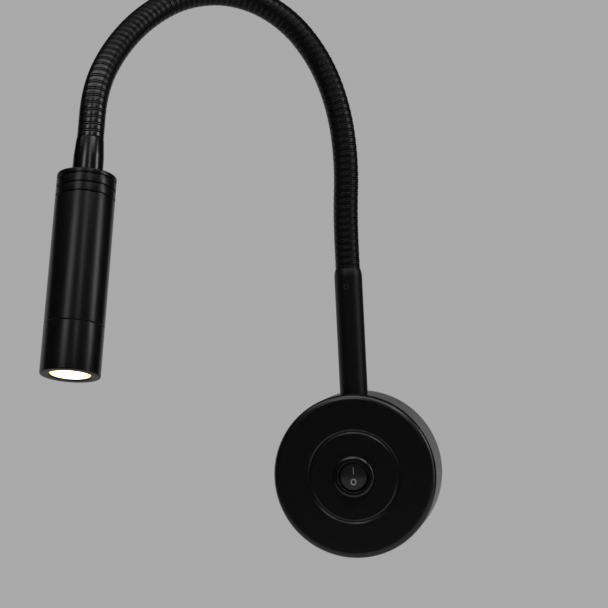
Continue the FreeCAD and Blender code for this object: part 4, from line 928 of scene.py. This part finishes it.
class LAMP_OT_stage(bpy.types.Operator):
    """Build the floor, the soft lights, the background and the camera"""

    bl_idname = "lamp.stage"
    bl_label = "Stage"

    def execute(self, context):
        stage = context.scene.lamp_stage
        self.floor(stage)
        self.dark_cloth()
        self.background(context.scene, stage)
        for row in SOFTBOXES:
            softbox(*row)
        self.camera(context.scene, stage)
        context.scene.view_settings.view_transform = "Standard"
        return {"FINISHED"}

    def floor(self, stage):
        """A round floor: points at r (cos a, sin a), which fades into the background toward its edge."""
        rows, around = 5, 64
        distance = np.linspace(0, FLOOR_RADIUS, rows)[:, None]
        angle = np.arange(around)[None, :] * FULL_TURN / around
        grid = np.stack([distance * np.cos(angle), distance * np.sin(angle),
                         stage.floor_level + 0 * distance * angle], axis=-1)
        floor = make_piece("floor", grid.reshape(-1, 3), grid_faces(rows, around, False, True))
        nodes = Nodes("floor_pale")
        tone = nodes.noise(nodes.place(), 3.0, 4.0)
        ray = nodes.add("ShaderNodeLightPath").outputs
        seen = nodes.combined("MAXIMUM", ray["Is Camera Ray"], ray["Is Glossy Ray"])
        seen = nodes.combined("MAXIMUM", seen, ray["Is Transmission Ray"])
        shown = nodes.mixed(tone, lighter(stage.backdrop, FLOOR_GAIN),
                            lighter(stage.backdrop, 1.03 * FLOOR_GAIN))
        solid = nodes.ramp(nodes.distance((0, 0, 0)), *FLOOR_FADE, 1.0, 0.0, interpolation_type="SMOOTHSTEP")
        nodes.set(Base_Color=nodes.mixed(seen, tuple(stage.backdrop), shown),
                  Roughness=0.9, Specular_IOR_Level=0.1, Alpha=solid)
        floor.data.materials.append(nodes.material)

    def dark_cloth(self):
        """Black cloth round the front and over the top, unseen itself, so that black surfaces stay black.

        Points on a sphere at azimuth a from the front and elevation e, from straight up down to a hem. The
        hem is low round the front and rises, as a smooth step of a, round an opening behind on the left.
        """
        rows, columns = 12, 73
        azimuth = np.linspace(-180, 180, columns)
        from_opening = np.abs((azimuth - OPENING_AZIMUTH + 180) % 360 - 180)
        step = np.clip((OPENING_HALF - from_opening) / OPENING_SOFT, 0, 1)
        hem = HEM_LOW + HEM_RISE * step**2 * (3 - 2 * step)
        share = np.linspace(0, 1, rows)[:, None]
        turn, rise = np.radians(azimuth)[None, :], np.radians(90 + share * (hem - 90))
        grid = np.stack([np.sin(turn) * np.cos(rise), -np.cos(turn) * np.cos(rise), np.sin(rise)], axis=-1)
        faces = grid_faces(rows, columns, False, False)
        cloth = make_piece("dark_cloth", CLOTH_RADIUS * grid.reshape(-1, 3), faces)
        nodes = Nodes("cloth_black")
        nodes.set(Base_Color=(0.004, 0.004, 0.004, 1), Roughness=1.0, Specular_IOR_Level=0.0)
        cloth.data.materials.append(nodes.material)
        cloth.visible_camera = False

    def background(self, scene, stage):
        world = bpy.data.worlds.new("studio")
        world.use_nodes = True
        world.node_tree.nodes["Background"].inputs["Color"].default_value = (*stage.backdrop, 1)
        world.node_tree.nodes["Background"].inputs["Strength"].default_value = 1.0
        scene.world = world

    def camera(self, scene, stage):
        """Camera at the given place: yaw about +Z, then pitch, then roll about the view."""
        yaw, pitch, roll = stage.camera_yaw, stage.camera_pitch, stage.camera_roll
        ahead = Vector((math.sin(yaw) * math.cos(pitch), math.cos(yaw) * math.cos(pitch), math.sin(pitch)))
        right = Vector((math.cos(yaw), -math.sin(yaw), 0))
        up = right.cross(ahead)
        across = right * math.cos(roll) + up * math.sin(roll)
        upward = up * math.cos(roll) - right * math.sin(roll)
        data = bpy.data.cameras.new("camera")
        data.lens = stage.focal_length
        data.sensor_width = 36
        camera = bpy.data.objects.new("camera", data)
        scene.collection.objects.link(camera)
        turn = Matrix((across, upward, -ahead)).transposed().to_4x4()
        camera.matrix_world = Matrix.Translation(stage.camera_place) @ turn
        scene.camera = camera


class LAMP_PT_panel(bpy.types.Panel):
    """Sizes, colours and steps of the reading lamp"""

    bl_idname = "LAMP_PT_panel"
    bl_label = "Reading lamp"
    bl_space_type = "VIEW_3D"
    bl_region_type = "UI"
    bl_category = "Reading lamp"

    def draw(self, context):
        layout = self.layout
        for group in (context.scene.lamp_sizes, context.scene.lamp_colours, context.scene.lamp_stage):
            box = layout.box()
            for name in group.__annotations__:
                box.prop(group, name)
        for operator in OPERATORS:
            layout.operator(operator.bl_idname)


OPERATORS = (LAMP_OT_base, LAMP_OT_switch, LAMP_OT_tube, LAMP_OT_hose, LAMP_OT_head, LAMP_OT_light,
             LAMP_OT_inside, LAMP_OT_stage)
GROUPS = {"lamp_sizes": LampSizes, "lamp_colours": LampColours, "lamp_stage": StageSettings}


def register():
    for made in (*GROUPS.values(), *OPERATORS, LAMP_PT_panel):
        bpy.utils.register_class(made)
    for name, group in GROUPS.items():
        setattr(bpy.types.Scene, name, PointerProperty(type=group))


def unregister():
    for name in GROUPS:
        delattr(bpy.types.Scene, name)
    for made in (LAMP_PT_panel, *reversed(OPERATORS), *reversed(GROUPS.values())):
        bpy.utils.unregister_class(made)


def main():
    register()
    for operator in OPERATORS:
        getattr(bpy.ops.lamp, operator.bl_idname.split(".")[1])()
    bpy.context.view_layer.update()


if __name__ == "__main__":
    main()
